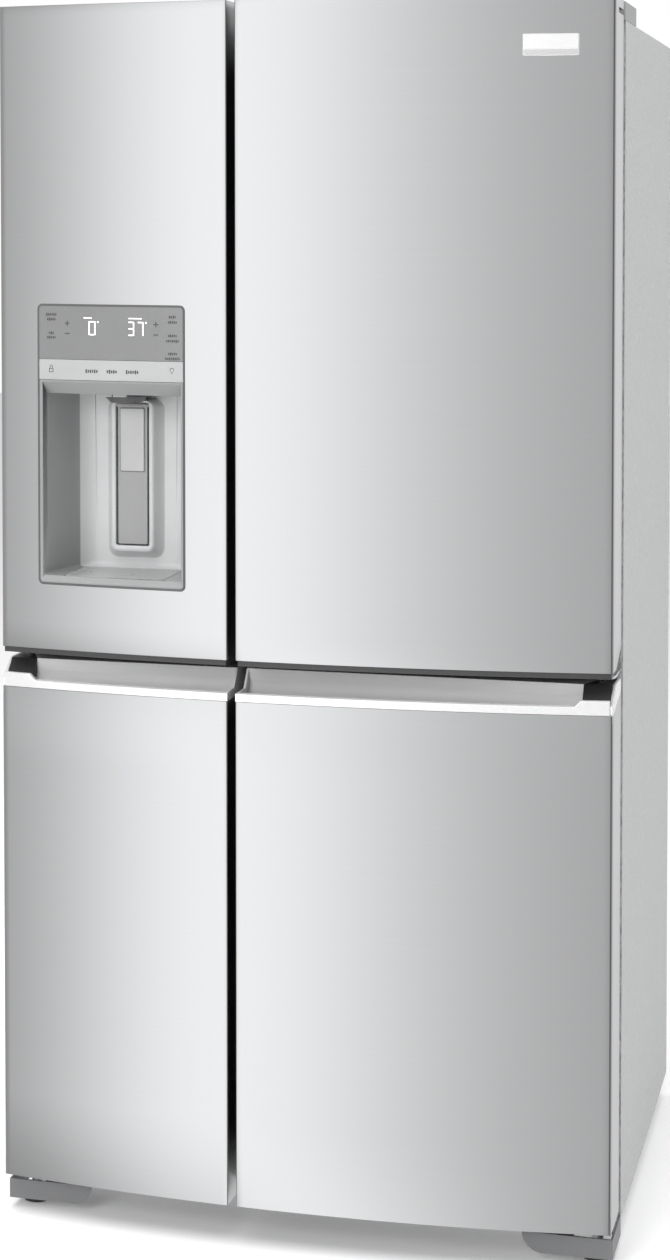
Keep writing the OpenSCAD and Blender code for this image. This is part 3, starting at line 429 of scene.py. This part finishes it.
def door_section(x0, x1, marks=(), count=56):
    """Plan outline of a skin: side, rounded corner, bowed front, corner, side. Gives (x, y, nx, ny)."""
    out = []
    for side, x_edge in ((-1, x0), (1, x1)):
        r = EDGE_R if abs(x_edge) > HALF_W - 0.002 else FREE_R
        cx = x_edge - side * r
        cy = bow_y(cx, r)
        tilt = math.degrees(math.atan2(cy - BOW_CY, cx))
        away = 180 if side < 0 else 0
        turn = tilt % 360 if side < 0 else tilt
        corner = arc_points(cx, cy, r, away, turn, 6)
        wall = [(x_edge, y) for y in spread(DOOR_BACK, cy, 6)]
        outline = wall[:-1] + corner
        normals = [(side, 0.0)] * (len(wall) - 1) + [((px - cx) / r, (py - cy) / r) for px, py in corner]
        run = [(*p, *n) for p, n in zip(outline, normals)]
        if side < 0:
            out += run
            first = corner[-1][0]
        else:
            last = corner[-1][0]
            inner = sorted(set(spread(first, last, count)[1:-1]) | {m for m in marks if first < m < last})
            for x in inner:
                y = bow_y(x)
                out.append((x, y, x / BOW_R, (y - BOW_CY) / BOW_R))
            out += run[::-1]
    return out


def door_skin(name, node, body, low, high, hinge_side, levels=(), marks=(), hole=None, slit=None):
    """The bent steel sheet of a door. low and high give its ends at a point of the outline."""
    lo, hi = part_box(node)
    section = door_section(lo.x, hi.x, marks)
    rows = [
        [(low(x, y) + rise * HEM, inset * HEM) for x, y, _, _ in section]
        for rise, inset in ((0.0, 1.0), (0.3, 0.3), (1.0, 0.0))
    ]
    inner = sorted(levels) if levels else spread(lo.z, hi.z, 6)[1:-1]
    rows += [[(z, 0.0) for _ in section] for z in inner]
    rows += [
        [(high(x, y) - drop * HEM, inset * HEM) for x, y, _, _ in section]
        for drop, inset in ((1.0, 0.0), (0.3, 0.3), (0.0, 1.0))
    ]
    verts = []
    for row in rows:
        for (z, inset), (x, y, nx, ny) in zip(row, section):
            verts.append((x - nx * inset, y - ny * inset, z))
    columns = len(section)

    def skip(r, c):
        z = (rows[r][c][0] + rows[r + 1][c][0]) / 2
        x = (section[c][0] + section[c + 1][0]) / 2
        y = (section[c][1] + section[c + 1][1]) / 2
        if hole and hole[0] < x < hole[1] and hole[2] < z < hole[3] and y < EDGE_Y + 0.02:
            return True
        return bool(slit and slit[0] < z < slit[1] and y > slit[2] and x * hinge_side > HALF_W - 0.002)

    faces = grid_faces(len(rows), columns, skip=skip)
    return piece(name, verts, faces, STEEL, body, (node,), "door_steel", solid=SKIN_T)


CORNER_RISE, CORNER_RUN = 0.024, 0.050
SIDE_RISE = 0.017
ARM_SLIT = (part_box("hinge_covers")[0].z + 0.005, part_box("hinge_covers")[0].z + 0.013)
HINGE_Y = EDGE_Y + 0.060
SLIT_Y = HINGE_Y - 0.028


def upper_low(lo, hinge_side):
    """Bottom edge of an upper skin, cut up at the rear of the hinge side."""
    def low(x, y):
        if x * hinge_side < HALF_W - 0.002:
            return lo.z
        return lo.z + max(0.0, y - (DOOR_BACK - CORNER_RUN)) * CORNER_RISE / CORNER_RUN
    return low


def lower_high(x, y):
    """Top edge of a lower skin, which climbs along its sides."""
    run = DOOR_BACK - EDGE_Y - 0.002
    return LIP_LO + max(0.0, y - EDGE_Y - 0.002) * SIDE_RISE / run if abs(x) > HALF_W - 0.002 else LIP_LO


HOLE_INSET = 0.003
HOLE = (DISP_LO.x + HOLE_INSET, DISP_HI.x - HOLE_INSET, DISP_LO.z + HOLE_INSET, DISP_HI.z - HOLE_INSET)


def guarded(marks):
    """Each mark with a close neighbour on both sides, which keeps the shading flat beside an edge."""
    return [m + d for m in marks for d in (-0.0006, 0.0, 0.0006)]


def make_skins():
    for node, body, side in (("freezer_door_skin", "freezer_door", -1), ("fridge_door_skin", "fridge_door", 1)):
        lo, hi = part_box(node)
        is_freezer = side < 0
        levels = [lo.z + 0.04, *(guarded(HOLE[2:]) if is_freezer else (1.1, 1.4)), 1.6, *guarded(ARM_SLIT)]
        door_skin(
            node.replace("skin", "panel"), node, body, upper_low(lo, side), lambda x, y, top=hi.z: top, side,
            levels=levels, marks=guarded(HOLE[:2]) if is_freezer else (), hole=HOLE if is_freezer else None,
            slit=(*ARM_SLIT, SLIT_Y),
        )
    for node, body, side in (
        ("lower_freezer_door_skin", "lower_freezer_door", -1),
        ("lower_fridge_door_skin", "lower_fridge_door", 1),
    ):
        lo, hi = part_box(node)
        door_skin(node.replace("skin", "panel"), node, body, lambda x, y, low=lo.z: low, lower_high, side)


make_skins()

# ---------- Bright trim of the hand pockets ----------


def lip_outline(top):
    """Closed outline of the lip as (set-back, z), with round upper edges."""
    r = 0.0022
    low = [(0.0, LIP_LO + 0.0004), (0.0, LIP_LO + 0.003), (0.0, top - 0.004)]
    front = arc_points(r, top - r, r, 180, 90, 5)
    rear = arc_points(LIP_T - r, top - r, r, 90, 0, 5)
    return low + front + rear + [(LIP_T, LIP_LO + 0.0004)]


def make_trim(node, body, side):
    lo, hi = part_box(node)
    post_x = side * (HALF_W - POST_T)
    free_x = lo.x if side > 0 else hi.x
    step = side * (HALF_W - POST_T - BLOCK_W)
    xs = sorted(set(spread(free_x, post_x, 60)) | {step, step - side * LIP_RAISE, post_x})
    verts = []
    for x in xs:
        past = side * (x - (step - side * LIP_RAISE))
        top = LIP_HI + min(max(past, 0.0), LIP_RAISE)
        for inset, z in lip_outline(top):
            verts.append((x, bow_y(x, inset), z))
    ring = len(lip_outline(LIP_HI))
    faces = grid_faces(len(xs), ring, closed=True)
    faces.append(list(range(ring)))
    faces.append([len(verts) - ring + i for i in range(ring)])
    piece(node + "_lip", verts, faces, CHROME, body, (node,), "bright_trim", angle=50)
    profile = [
        (EDGE_Y + 0.0006, LIP_LO + 0.0004), (EDGE_Y + 0.0006, LIP_HI), (EDGE_Y + POST_LEAN, LOWER_TOP),
        (DOOR_BACK, LOWER_TOP), (DOOR_BACK, LIP_LO + SIDE_RISE + 0.0006), (EDGE_Y + 0.003, LIP_LO + 0.0004),
    ]
    x0, x1 = sorted((post_x, side * HALF_W))
    verts = [(x, y, z) for x in (x0, x1) for y, z in profile]
    n = len(profile)
    faces = [list(range(n)), [n + i for i in range(n)]]
    faces += [[i, (i + 1) % n, n + (i + 1) % n, n + i] for i in range(n)]
    piece(node + "_post", verts, faces, CHROME, body, (), "bright_trim", bevel=0.0012)


make_trim("lower_freezer_door_trim", "lower_freezer_door", -1)
make_trim("lower_fridge_door_trim", "lower_fridge_door", 1)


def blacken_hinge_blocks():
    """The hinge block beside each pocket is black, and the moulding round it grey."""
    for node in ("lower_freezer_door_caps", "lower_fridge_door_caps"):
        mesh = nodes[node].data
        mesh.materials.append(BLACK)
        for poly in mesh.polygons:
            c = poly.center
            if abs(c.x) > HALF_W - POST_T - BLOCK_W - 0.001 and c.z > LIP_HI:
                poly.material_index = 1
            if c.z < LIP_LO - 0.3:
                poly.material_index = 1


blacken_hinge_blocks()

# ---------- Dispenser ----------


def on_bow(points, inset):
    """Flat (x, z) points laid on the bowed front, set back by inset."""
    return [(x, bow_y(x, inset), z) for x, z in points]


def loft(name, rings, mat, body, caps=(False, False), skip=None, **options):
    """A skin over closed rings of equal length."""
    columns = len(rings[0])
    verts = [p for ring in rings for p in ring]
    faces = grid_faces(len(rings), columns, closed=True, skip=skip)
    if caps[0]:
        faces += lid(columns)
    if caps[1]:
        faces += lid(columns, len(verts) - columns)
    return piece(name, verts, faces, mat, body, **options)


def plate(name, border, front, back, mat, body, edge=0.0004, **options):
    """A plate that follows the bow, from set-back front to back, with a softened front edge."""
    xs, zs = [x for x, _ in border], [z for _, z in border]
    cx, cz = (min(xs) + max(xs)) / 2, (min(zs) + max(zs)) / 2
    half_x, half_z = max(xs) - cx, max(zs) - cz
    small = [(cx + (x - cx) * (1 - edge / half_x), cz + (z - cz) * (1 - edge / half_z)) for x, z in border]
    rings = [on_bow(border, back), on_bow(border, front + edge), on_bow(small, front)]
    return loft(name, rings, mat, body, caps=(True, True), **options)


def flat_box(name, lo, hi, mat, body, bevel=0.0004, **options):
    corners = [(x, y, z) for x in (lo[0], hi[0]) for y in (lo[1], hi[1]) for z in (lo[2], hi[2])]
    faces = [[0, 1, 3, 2], [4, 6, 7, 5], [0, 4, 5, 1], [2, 3, 7, 6], [0, 2, 6, 4], [1, 5, 7, 3]]
    return piece(name, corners, faces, mat, body, bevel=bevel, **options)


DISP_CX = (DISP_LO.x + DISP_HI.x) / 2
RECESS_BACK = PADDLE_HI.y + 0.013
RECESS_FLOOR = TRAY_HI.z - 0.002
RECESS_ROOF = BAND_Z - 0.020
SIDE_WALL = FRAME_W + 0.003
TAPER = 0.023
BACK_R = 0.022
SILL_DEPTH = 0.005
BEVEL_DEPTH = 0.020
TRAY_GAP = 0.001
FLOOR_RUNS = 6


def recess_ring(y_of_x):
    """Outline of the recess at a depth given for each x."""
    def inset(y):
        deep = max(0.0, y - TRAY_LO.y)
        turn = max(0.0, y - (RECESS_BACK - BACK_R))
        return SIDE_WALL + TAPER * deep / (RECESS_BACK - TRAY_LO.y) + BACK_R - math.sqrt(BACK_R**2 - turn**2)

    y_mid = y_of_x(DISP_CX)
    front_gap = y_mid - bow_y(DISP_CX)
    side = FRAME_W + (inset(y_mid) - FRAME_W) * min(1.0, front_gap / 0.0025)
    low = DISP_LO.z + FRAME_W + (RECESS_FLOOR - DISP_LO.z - FRAME_W) * min(1.0, front_gap / SILL_DEPTH)
    floor_r = 0.010
    low += floor_r - math.sqrt(floor_r**2 - max(0.0, y_mid - (RECESS_BACK - floor_r)) ** 2)
    x0, x1 = DISP_LO.x + side, DISP_HI.x - side
    xs = (TRAY_LO.x - TRAY_GAP, TRAY_HI.x + TRAY_GAP)
    xs = tuple(min(max(x, x0 + 0.008), x1 - 0.008) for x in xs)
    flat = outline(x0, x1, low, RECESS_ROOF, 0.005, 0.0015, xs, FLOOR_RUNS)
    ring = []
    for x, z in flat:
        y = y_of_x(x)
        roof = max(RECESS_ROOF, BAND_Z - 0.0003 - max(0.0, y - bow_y(x)))
        ring.append((x, y, z + (roof - RECESS_ROOF) if z > RECESS_ROOF - 0.002 else z))
    return ring


def make_recess():
    body = "freezer_door"
    depths = [
        lambda x: bow_y(x),
        lambda x: bow_y(x) + 0.0025,
        lambda x: bow_y(x) + SILL_DEPTH,
        lambda x: max(TRAY_LO.y - TRAY_GAP, bow_y(x) + SILL_DEPTH + 0.0002),
        lambda x: max(bow_y(x) + BEVEL_DEPTH, TRAY_LO.y - TRAY_GAP + 0.0002),
    ]
    tray_end = TRAY_HI.y + TRAY_GAP
    start = RECESS_BACK - BACK_R
    curve = [start + BACK_R * math.sin(math.radians(a)) for a in range(0, 91, 15)]
    flats = sorted([*curve, tray_end])
    rings = [recess_ring(f) for f in depths] + [recess_ring(lambda x, y=y: y) for y in flats]
    first = 3
    last = len(depths) + flats.index(tray_end)
    recess = loft(
        "dispenser_recess", rings, HOUSING, body, caps=(False, True),
        skip=lambda r, c: 6 + FLOOR_RUNS <= c < 6 + 2 * FLOOR_RUNS and first <= r < last,
        replaced=("dispenser_housing",), slot="dispenser_plastic", solid=0.0015, angle=40,
    )
    # The recess faces ahead of its rounded back corners take the darker grey: painted shade on the walls, roof and
    # floor. The back wall and most of the rounding keep the lighter housing grey.
    recess.data.materials.append(WALL_SHADE_GREY)
    for poly in recess.data.polygons:
        if poly.center.y < start + 0.4 * BACK_R:
            poly.material_index = 1
    x0, x1 = TRAY_LO.x - TRAY_GAP, TRAY_HI.x + TRAY_GAP
    y0, y1 = TRAY_LO.y - TRAY_GAP + 0.002, tray_end
    z0, z1 = TRAY_LO.z - 0.001, RECESS_FLOOR
    well = [[(x0, y0, z), (x1, y0, z), (x1, y1, z), (x0, y1, z)] for z in (z1, z0)]
    # The well round the drip tray is near-black: painted shadow in the gap between tray and floor.
    loft("dispenser_well", well, GAP_SHADOW_GREY, body, caps=(False, True), slot="dispenser_plastic", solid=0.001)


def make_dispenser_front():
    body = "freezer_door"

    def border(inset, r):
        return rounded_rect(DISP_LO.x + inset, DISP_HI.x - inset, DISP_LO.z + inset, DISP_HI.z - inset, r, runs=18)

    outer, lip, inner = border(0.0, 0.008), border(0.001, 0.007), border(FRAME_W, 0.005)
    steps = ((outer, 0.003), (outer, 0.0), (lip, -0.0011), (inner, -0.0006), (inner, 0.003))
    rings = [on_bow(line, inset) for line, inset in steps]
    loft("dispenser_frame", rings, FRAME_DARK, body, slot="dispenser_plastic")
    x0, x1 = DISP_LO.x + FRAME_W, DISP_HI.x - FRAME_W
    band_top = BAND_Z + BAND_H
    screen = outline(x0, x1, band_top + 0.0002, DISP_HI.z - FRAME_W, 0.0006, 0.005, runs=18)
    plate("display_screen", screen, -0.0007, 0.004, SCREEN, body, replaced=("display_panel",), slot="display_glass")
    band = outline(x0, x1, BAND_Z, band_top - 0.0002, 0.0006, 0.0006, runs=18)
    plate("display_band", band, -0.0007, 0.004, BAND, body, slot="display_glass")


MARK_Y = -0.00095


def mark(name, x0, x1, z0, z1, mat, r=0.0003):
    """A printed or lit mark on the display's face, by its place from the display's upper left."""
    left, top = DISP_LO.x, DISP_HI.z
    border = rounded_rect(left + x0, left + x1, top - z1, top - z0, min(r, (x1 - x0) / 2.1, (z1 - z0) / 2.1), 3)
    plate(name, border, MARK_Y, -0.0004, mat, "freezer_door", edge=0.00005, slot="display_glass")


SEGMENTS = {"0": "abcdef", "3": "abcdg", "7": "abc"}


def digit(char, x, z, w=0.0108, h=0.0205, t=0.0017):
    """One seven-segment figure with its upper left at x, z."""
    gap = 0.0003
    mid = h / 2
    places = {
        "a": (t + gap, w - t - gap, 0, t), "d": (t + gap, w - t - gap, h - t, h),
        "g": (t + gap, w - t - gap, mid - t / 2, mid + t / 2),
        "b": (w - t, w, gap, mid - gap), "c": (w - t, w, mid + gap, h - gap),
        "f": (0, t, gap, mid - gap), "e": (0, t, mid + gap, h - gap),
    }
    for s in SEGMENTS[char]:
        x0, x1, z0, z1 = places[s]
        mark(f"digit_{char}_{s}_{round(x * 1000)}", x + x0, x + x1, z + z0, z + z1, MARK, 0.0005)


# Rows of small strokes that stand for labels: centre x and z from the display's upper left, and how many strokes
LABEL_ROWS = (
    (0.0235, 0.0155, 6), (0.0235, 0.0225, 5), (0.0235, 0.0425, 3), (0.0235, 0.0490, 5),
    (0.2145, 0.0170, 4), (0.2145, 0.0245, 5), (0.2145, 0.0440, 5), (0.2145, 0.0515, 7),
    (0.2145, 0.0700, 5), (0.2145, 0.0770, 8),
)
BAND_ROWS = ((0.0880, 0.0975, 6), (0.1200, 0.0975, 5), (0.1520, 0.0975, 6))
STROKES = (0.0032, 0.0022, 0.0026, 0.0020, 0.0030, 0.0022)


def label_row(name, x, z, count, pitch, scale):
    for i in range(count):
        h = STROKES[(i + count) % len(STROKES)] * scale
        x0 = x + (i - count / 2) * pitch
        mark(f"{name}_{i}", x0, x0 + pitch * 0.62, z - h / 2 + 0.0002, z + h / 2, INK, 0.0004)


def make_marks():
    digit("0", 0.0830, 0.0245)
    digit("3", 0.1440, 0.0245)
    digit("7", 0.1585, 0.0245)
    mark("degree_0", 0.0965, 0.0990, 0.0245, 0.0270, MARK, 0.0012)
    mark("degree_1", 0.1720, 0.1745, 0.0245, 0.0270, MARK, 0.0012)
    mark("lit_bar_0", 0.0750, 0.0880, 0.0192, 0.0206, MARK, 0.0006)
    mark("lit_bar_1", 0.1460, 0.1670, 0.0192, 0.0206, MARK, 0.0006)
    for i, x in enumerate((0.0488, 0.1885)):
        mark(f"plus_flat_{i}", x - 0.0038, x + 0.0038, 0.0275, 0.0287, INK)
        mark(f"plus_tall_{i}", x - 0.0006, x + 0.0006, 0.0243, 0.0274, INK)
        mark(f"plus_foot_{i}", x - 0.0006, x + 0.0006, 0.0288, 0.0319, INK)
        mark(f"minus_{i}", x - 0.0038, x + 0.0038, 0.0425, 0.0437, INK)
    for i, (x, z, count) in enumerate(LABEL_ROWS):
        label_row(f"label_{i}", x, z, count, 0.0029, 1.5)
    for i, (x, z, count) in enumerate(BAND_ROWS):
        label_row(f"band_label_{i}", x, z, count, 0.0034, 1.9)
    # padlock and lamp signs, drawn as outlines
    for name, x0, x1, z0, z1 in (
        ("lock_left", 0.0190, 0.0197, 0.0945, 0.1000), ("lock_right", 0.0253, 0.0260, 0.0945, 0.1000),
        ("lock_floor", 0.0197, 0.0253, 0.0993, 0.1000), ("lock_lid", 0.0197, 0.0253, 0.0945, 0.0952),
        ("shackle_left", 0.0203, 0.0210, 0.0905, 0.0944), ("shackle_right", 0.0240, 0.0247, 0.0905, 0.0944),
        ("shackle_top", 0.0208, 0.0242, 0.0898, 0.0904),
        ("bulb_left", 0.2100, 0.2107, 0.0912, 0.0953), ("bulb_right", 0.2153, 0.2160, 0.0912, 0.0953),
        ("bulb_top", 0.2108, 0.2152, 0.0903, 0.0910), ("bulb_neck", 0.2115, 0.2145, 0.0958, 0.0965),
        ("bulb_foot", 0.2120, 0.2140, 0.0975, 0.0982),
    ):
        mark(name, x0, x1, z0, z1, INK)


def make_paddle():
    body = "dispenser_paddle"
    cx = (PADDLE_LO.x + PADDLE_HI.x) / 2
    half = 0.023
    top, low, front, back = PADDLE_HI.z - 0.003, PADDLE_LO.z, PADDLE_HI.y - 0.006, PADDLE_HI.y

    def slab(name, half_w, z0, z1, y0, y1, r, mat, edge, **options):
        flat = [rounded_rect(cx - half_w + d, cx + half_w - d, z0 + d, z1 - d, r - d) for d in (0, edge)]
        rings = [[(x, y, z) for x, z in line] for line, y in ((flat[0], y1), (flat[0], y0 + edge), (flat[1], y0))]
        loft(name, rings, mat, body, caps=(True, True), slot="paddle_plastic", **options)

    pad_low = top - 0.0985
    slab("paddle_plate", half, low, top, front, back, 0.0025, PADDLE_GREY, 0.0006, replaced=("dispenser_paddle",))
    # The ring round the pad's base is near-black: painted shadow along the pad's step.
    slab(
        "paddle_ring", half - 0.0032, pad_low - 0.0014, top - 0.0034, front - 0.0006, front + 0.0005, 0.0030,
        GAP_SHADOW_GREY, 0.0003,
    )
    slab("paddle_pad", half - 0.0044, pad_low, top - 0.0046, front - 0.0022, front + 0.0004, 0.0024, PAD, 0.0008)
    bar = arc_points(PADDLE_HI.y - 0.003, top, 0.0029, 0, 345, 23)
    pin = [[(x, y, z) for y, z in bar] for x in (cx - 0.030, cx + 0.030)]
    loft("paddle_pin", pin, PADDLE_GREY, body, caps=(True, True), slot="paddle_plastic")


def make_paddle_rim():
    body = "freezer_door"
    cx = DISP_CX
    low, top = PADDLE_LO.z - 0.0024, PADDLE_HI.z + 0.0012
    front = PADDLE_LO.y - 0.0022
    hole = 0.0262
    # half width, lowest z, highest z, corner radius, y
    steps = (
        (0.0470, low - 0.0230, top + 0.0040, 0.0170, RECESS_BACK + 0.0002),
        (0.0440, low - 0.0200, top + 0.0040, 0.0160, RECESS_BACK - 0.0015),
        (0.0385, low - 0.0145, top + 0.0040, 0.0130, RECESS_BACK - 0.0090),
        (0.0345, low - 0.0105, top + 0.0040, 0.0115, front + 0.0040),
        (0.0328, low - 0.0088, top + 0.0036, 0.0105, front + 0.0012),
        (0.0308, low - 0.0066, top + 0.0026, 0.0090, front),
        (hole + 0.0012, low - 0.0012, top + 0.0012, 0.0045, front + 0.0002), (hole, low, top, 0.0035, front + 0.0012),
        (hole, low, top, 0.0035, RECESS_BACK - 0.0003),
    )
    rings = [[(x, y, z) for x, z in rounded_rect(cx - w, cx + w, z0, z1, r)] for w, z0, z1, r, y in steps]
    loft("paddle_rim", rings, HOUSING, body, slot="dispenser_plastic", angle=50)
    # A thin black sheet fills the opening round the paddle, over the grey back wall: painted shadow in the gap.
    flat = rounded_rect(cx - hole, cx + hole, low, top, 0.0035)
    gap_shadow = [[(x, y, z) for x, z in flat] for y in (RECESS_BACK - 0.0002, RECESS_BACK - 0.0005)]
    loft("paddle_gap_shadow", gap_shadow, BLACK, body, caps=(True, True), slot="dispenser_plastic")
    for i, x in enumerate((-0.0100, 0.0125)):
        flat_box(
            f"nozzle_tab_{i}", (cx - 0.011 + x - 0.010, PADDLE_LO.y - 0.0640, RECESS_ROOF - 0.0062),
            (cx - 0.011 + x + 0.011, PADDLE_LO.y - 0.0600, RECESS_ROOF - 0.0002), RIM_GREY, body, slot="nozzle_plastic",
        )


def make_tray():
    body = "drip_tray"
    r = 0.012

    def ring(inset, z):
        lo, hi = TRAY_LO, TRAY_HI
        flat = rounded_rect(lo.x + inset, hi.x - inset, lo.y + inset, hi.y - inset, r - inset * 0.9)
        return [(x, y, z) for x, y in flat]

    top = TRAY_HI.z
    rings = [
        ring(0, TRAY_LO.z), ring(0, top - 0.0010), ring(0.0005, top - 0.0003), ring(0.0013, top), ring(0.0042, top),
        ring(0.0050, top - 0.0004), ring(0.0060, top - 0.0014), ring(0.0080, top - 0.0016),
    ]
    loft("tray_pan", rings, RIM_GREY, body, caps=(True, True), replaced=("drip_tray",), slot="tray_plastic", angle=45)


make_recess()
make_dispenser_front()
make_marks()
make_paddle()
make_paddle_rim()
make_tray()

# ---------- Blank badge ----------

BADGE = (0.3265, 0.4040, 1.7110, 1.7415)


def make_badge():
    x0, x1, z0, z1 = BADGE
    plate("badge_rim", rounded_rect(x0, x1, z0, z1, 0.002), -0.0013, 0.0004, CHROME, "fridge_door", slot="bright_trim")
    inner = rounded_rect(x0 + 0.0012, x1 - 0.0012, z0 + 0.0098, z1 - 0.0012, 0.0012)
    plate("badge_face", inner, -0.0015, -0.0010, BADGE_WHITE, "fridge_door", edge=0.0001, slot="bright_trim")
    strip = rounded_rect(x0 + 0.0012, x1 - 0.0012, z0 + 0.0012, z0 + 0.0086, 0.0012)
    plate("badge_strip", strip, -0.0015, -0.0010, BADGE_GREY, "fridge_door", edge=0.0001, slot="bright_trim")


make_badge()

# ---------- Stage, light and camera ----------


def make_stage():
    bpy.ops.mesh.primitive_plane_add(size=30, location=(0, 0, 0))
    floor = bpy.context.object
    floor.name = "studio_floor"
    mat, tree, shader, add = new_material("studio_floor")
    noise = noise_chain(tree, add, 0.6)
    tint(tree, add, noise, shader, (0.93, 0.93, 0.93), 0.004)
    shader.inputs["Roughness"].default_value = 0.9
    shader.inputs["Specular IOR Level"].default_value = 0.1
    shader.inputs["Emission Color"].default_value = (1, 1, 1, 1)
    shader.inputs["Emission Strength"].default_value = 0.12
    floor.data.materials.append(mat)
    floor.visible_glossy = False


# How bright the studio wall is round the room: degrees from -Y towards +X, and strength
WALL_LIGHT = (
    (-180, 0.55), (-100, 0.55), (-62, 0.44), (-46, 0.40), (-38, 0.58), (-30, 1.24), (-23, 1.72), (-16, 1.52),
    (-8, 1.10), (0, 0.80), (8, 0.66), (17, 0.62), (25, 0.16), (64, 0.16), (84, 0.50), (120, 0.70), (180, 0.85),
)
WALL_MAX = 2.0


def make_world():
    world = bpy.data.worlds.new("studio")
    bpy.context.scene.world = world
    world.use_nodes = True
    tree = world.node_tree
    tree.nodes.clear()
    new, link = tree.nodes.new, tree.links.new
    coord = new("ShaderNodeTexCoord")
    split = new("ShaderNodeSeparateXYZ")
    flip = new("ShaderNodeMath")
    flip.operation = "MULTIPLY"
    flip.inputs[1].default_value = -1.0
    angle = new("ShaderNodeMath")
    angle.operation = "ARCTAN2"
    place = new("ShaderNodeMapRange")
    place.inputs["From Min"].default_value = -math.pi
    place.inputs["From Max"].default_value = math.pi
    ramp = new("ShaderNodeValToRGB")
    ramp.color_ramp.interpolation = "LINEAR"
    stops = ramp.color_ramp.elements
    for i, (degrees, value) in enumerate(WALL_LIGHT):
        at = (degrees + 180) / 360
        stop = stops[i] if i < 2 else stops.new(at)
        stop.position = at
        level = value / WALL_MAX
        stop.color = (level, level, level * 1.01, 1)
    wall = new("ShaderNodeBackground")
    wall.inputs["Strength"].default_value = WALL_MAX
    backdrop = new("ShaderNodeBackground")
    backdrop.inputs["Color"].default_value = (1, 1, 1, 1)
    path = new("ShaderNodeLightPath")
    mix = new("ShaderNodeMixShader")
    out = new("ShaderNodeOutputWorld")
    link(coord.outputs["Generated"], split.inputs["Vector"])
    link(split.outputs["Y"], flip.inputs[0])
    link(split.outputs["X"], angle.inputs[0])
    link(flip.outputs["Value"], angle.inputs[1])
    link(angle.outputs["Value"], place.inputs["Value"])
    link(place.outputs["Result"], ramp.inputs["Fac"])
    link(ramp.outputs["Color"], wall.inputs["Color"])
    link(path.outputs["Is Camera Ray"], mix.inputs["Fac"])
    link(wall.outputs["Background"], mix.inputs[1])
    link(backdrop.outputs["Background"], mix.inputs[2])
    link(mix.outputs["Shader"], out.inputs["Surface"])


def area_light(name, place, aim, size, watts):
    data = bpy.data.lights.new(name, "AREA")
    data.size = size
    data.energy = watts
    lamp = bpy.data.objects.new(name, data)
    lamp.location = place
    lamp.rotation_mode = "QUATERNION"
    lamp.rotation_quaternion = (Vector(aim) - Vector(place)).to_track_quat("-Z", "Y")
    lamp.visible_glossy = False
    bpy.context.scene.collection.objects.link(lamp)


def make_camera():
    """A shifted lens in front of the right-hand doors, at standing eye height."""
    data = bpy.data.cameras.new("camera")
    data.sensor_width = 36.0
    data.lens = 68.42
    data.shift_y = -0.26
    data.clip_end = 100
    cam = bpy.data.objects.new("camera", data)
    yaw, pitch = -0.24427, -0.03705
    ahead = Vector((math.sin(yaw) * math.cos(pitch), math.cos(yaw) * math.cos(pitch), math.sin(pitch)))
    right = Vector((math.cos(yaw), -math.sin(yaw), 0))
    up = right.cross(ahead)
    turn = Matrix((right, up, -ahead)).transposed()
    cam.matrix_world = Matrix.Translation((0.8787, EDGE_Y - 3.3063, 1.4926)) @ turn.to_4x4()
    bpy.context.scene.collection.objects.link(cam)
    bpy.context.scene.camera = cam


make_stage()
make_world()
area_light("key", (-1.4, -4.8, 2.6), (-0.1, -0.3, 1.0), 2.2, 95)
area_light("side", (4.2, -0.6, 1.2), (0.4, 0.2, 0.7), 2.4, 26)
area_light("overhead", (0, -1.0, 4.6), (0, -1.0, 0), 5.0, 230)
make_camera()
bpy.context.scene.view_settings.view_transform = "Standard"
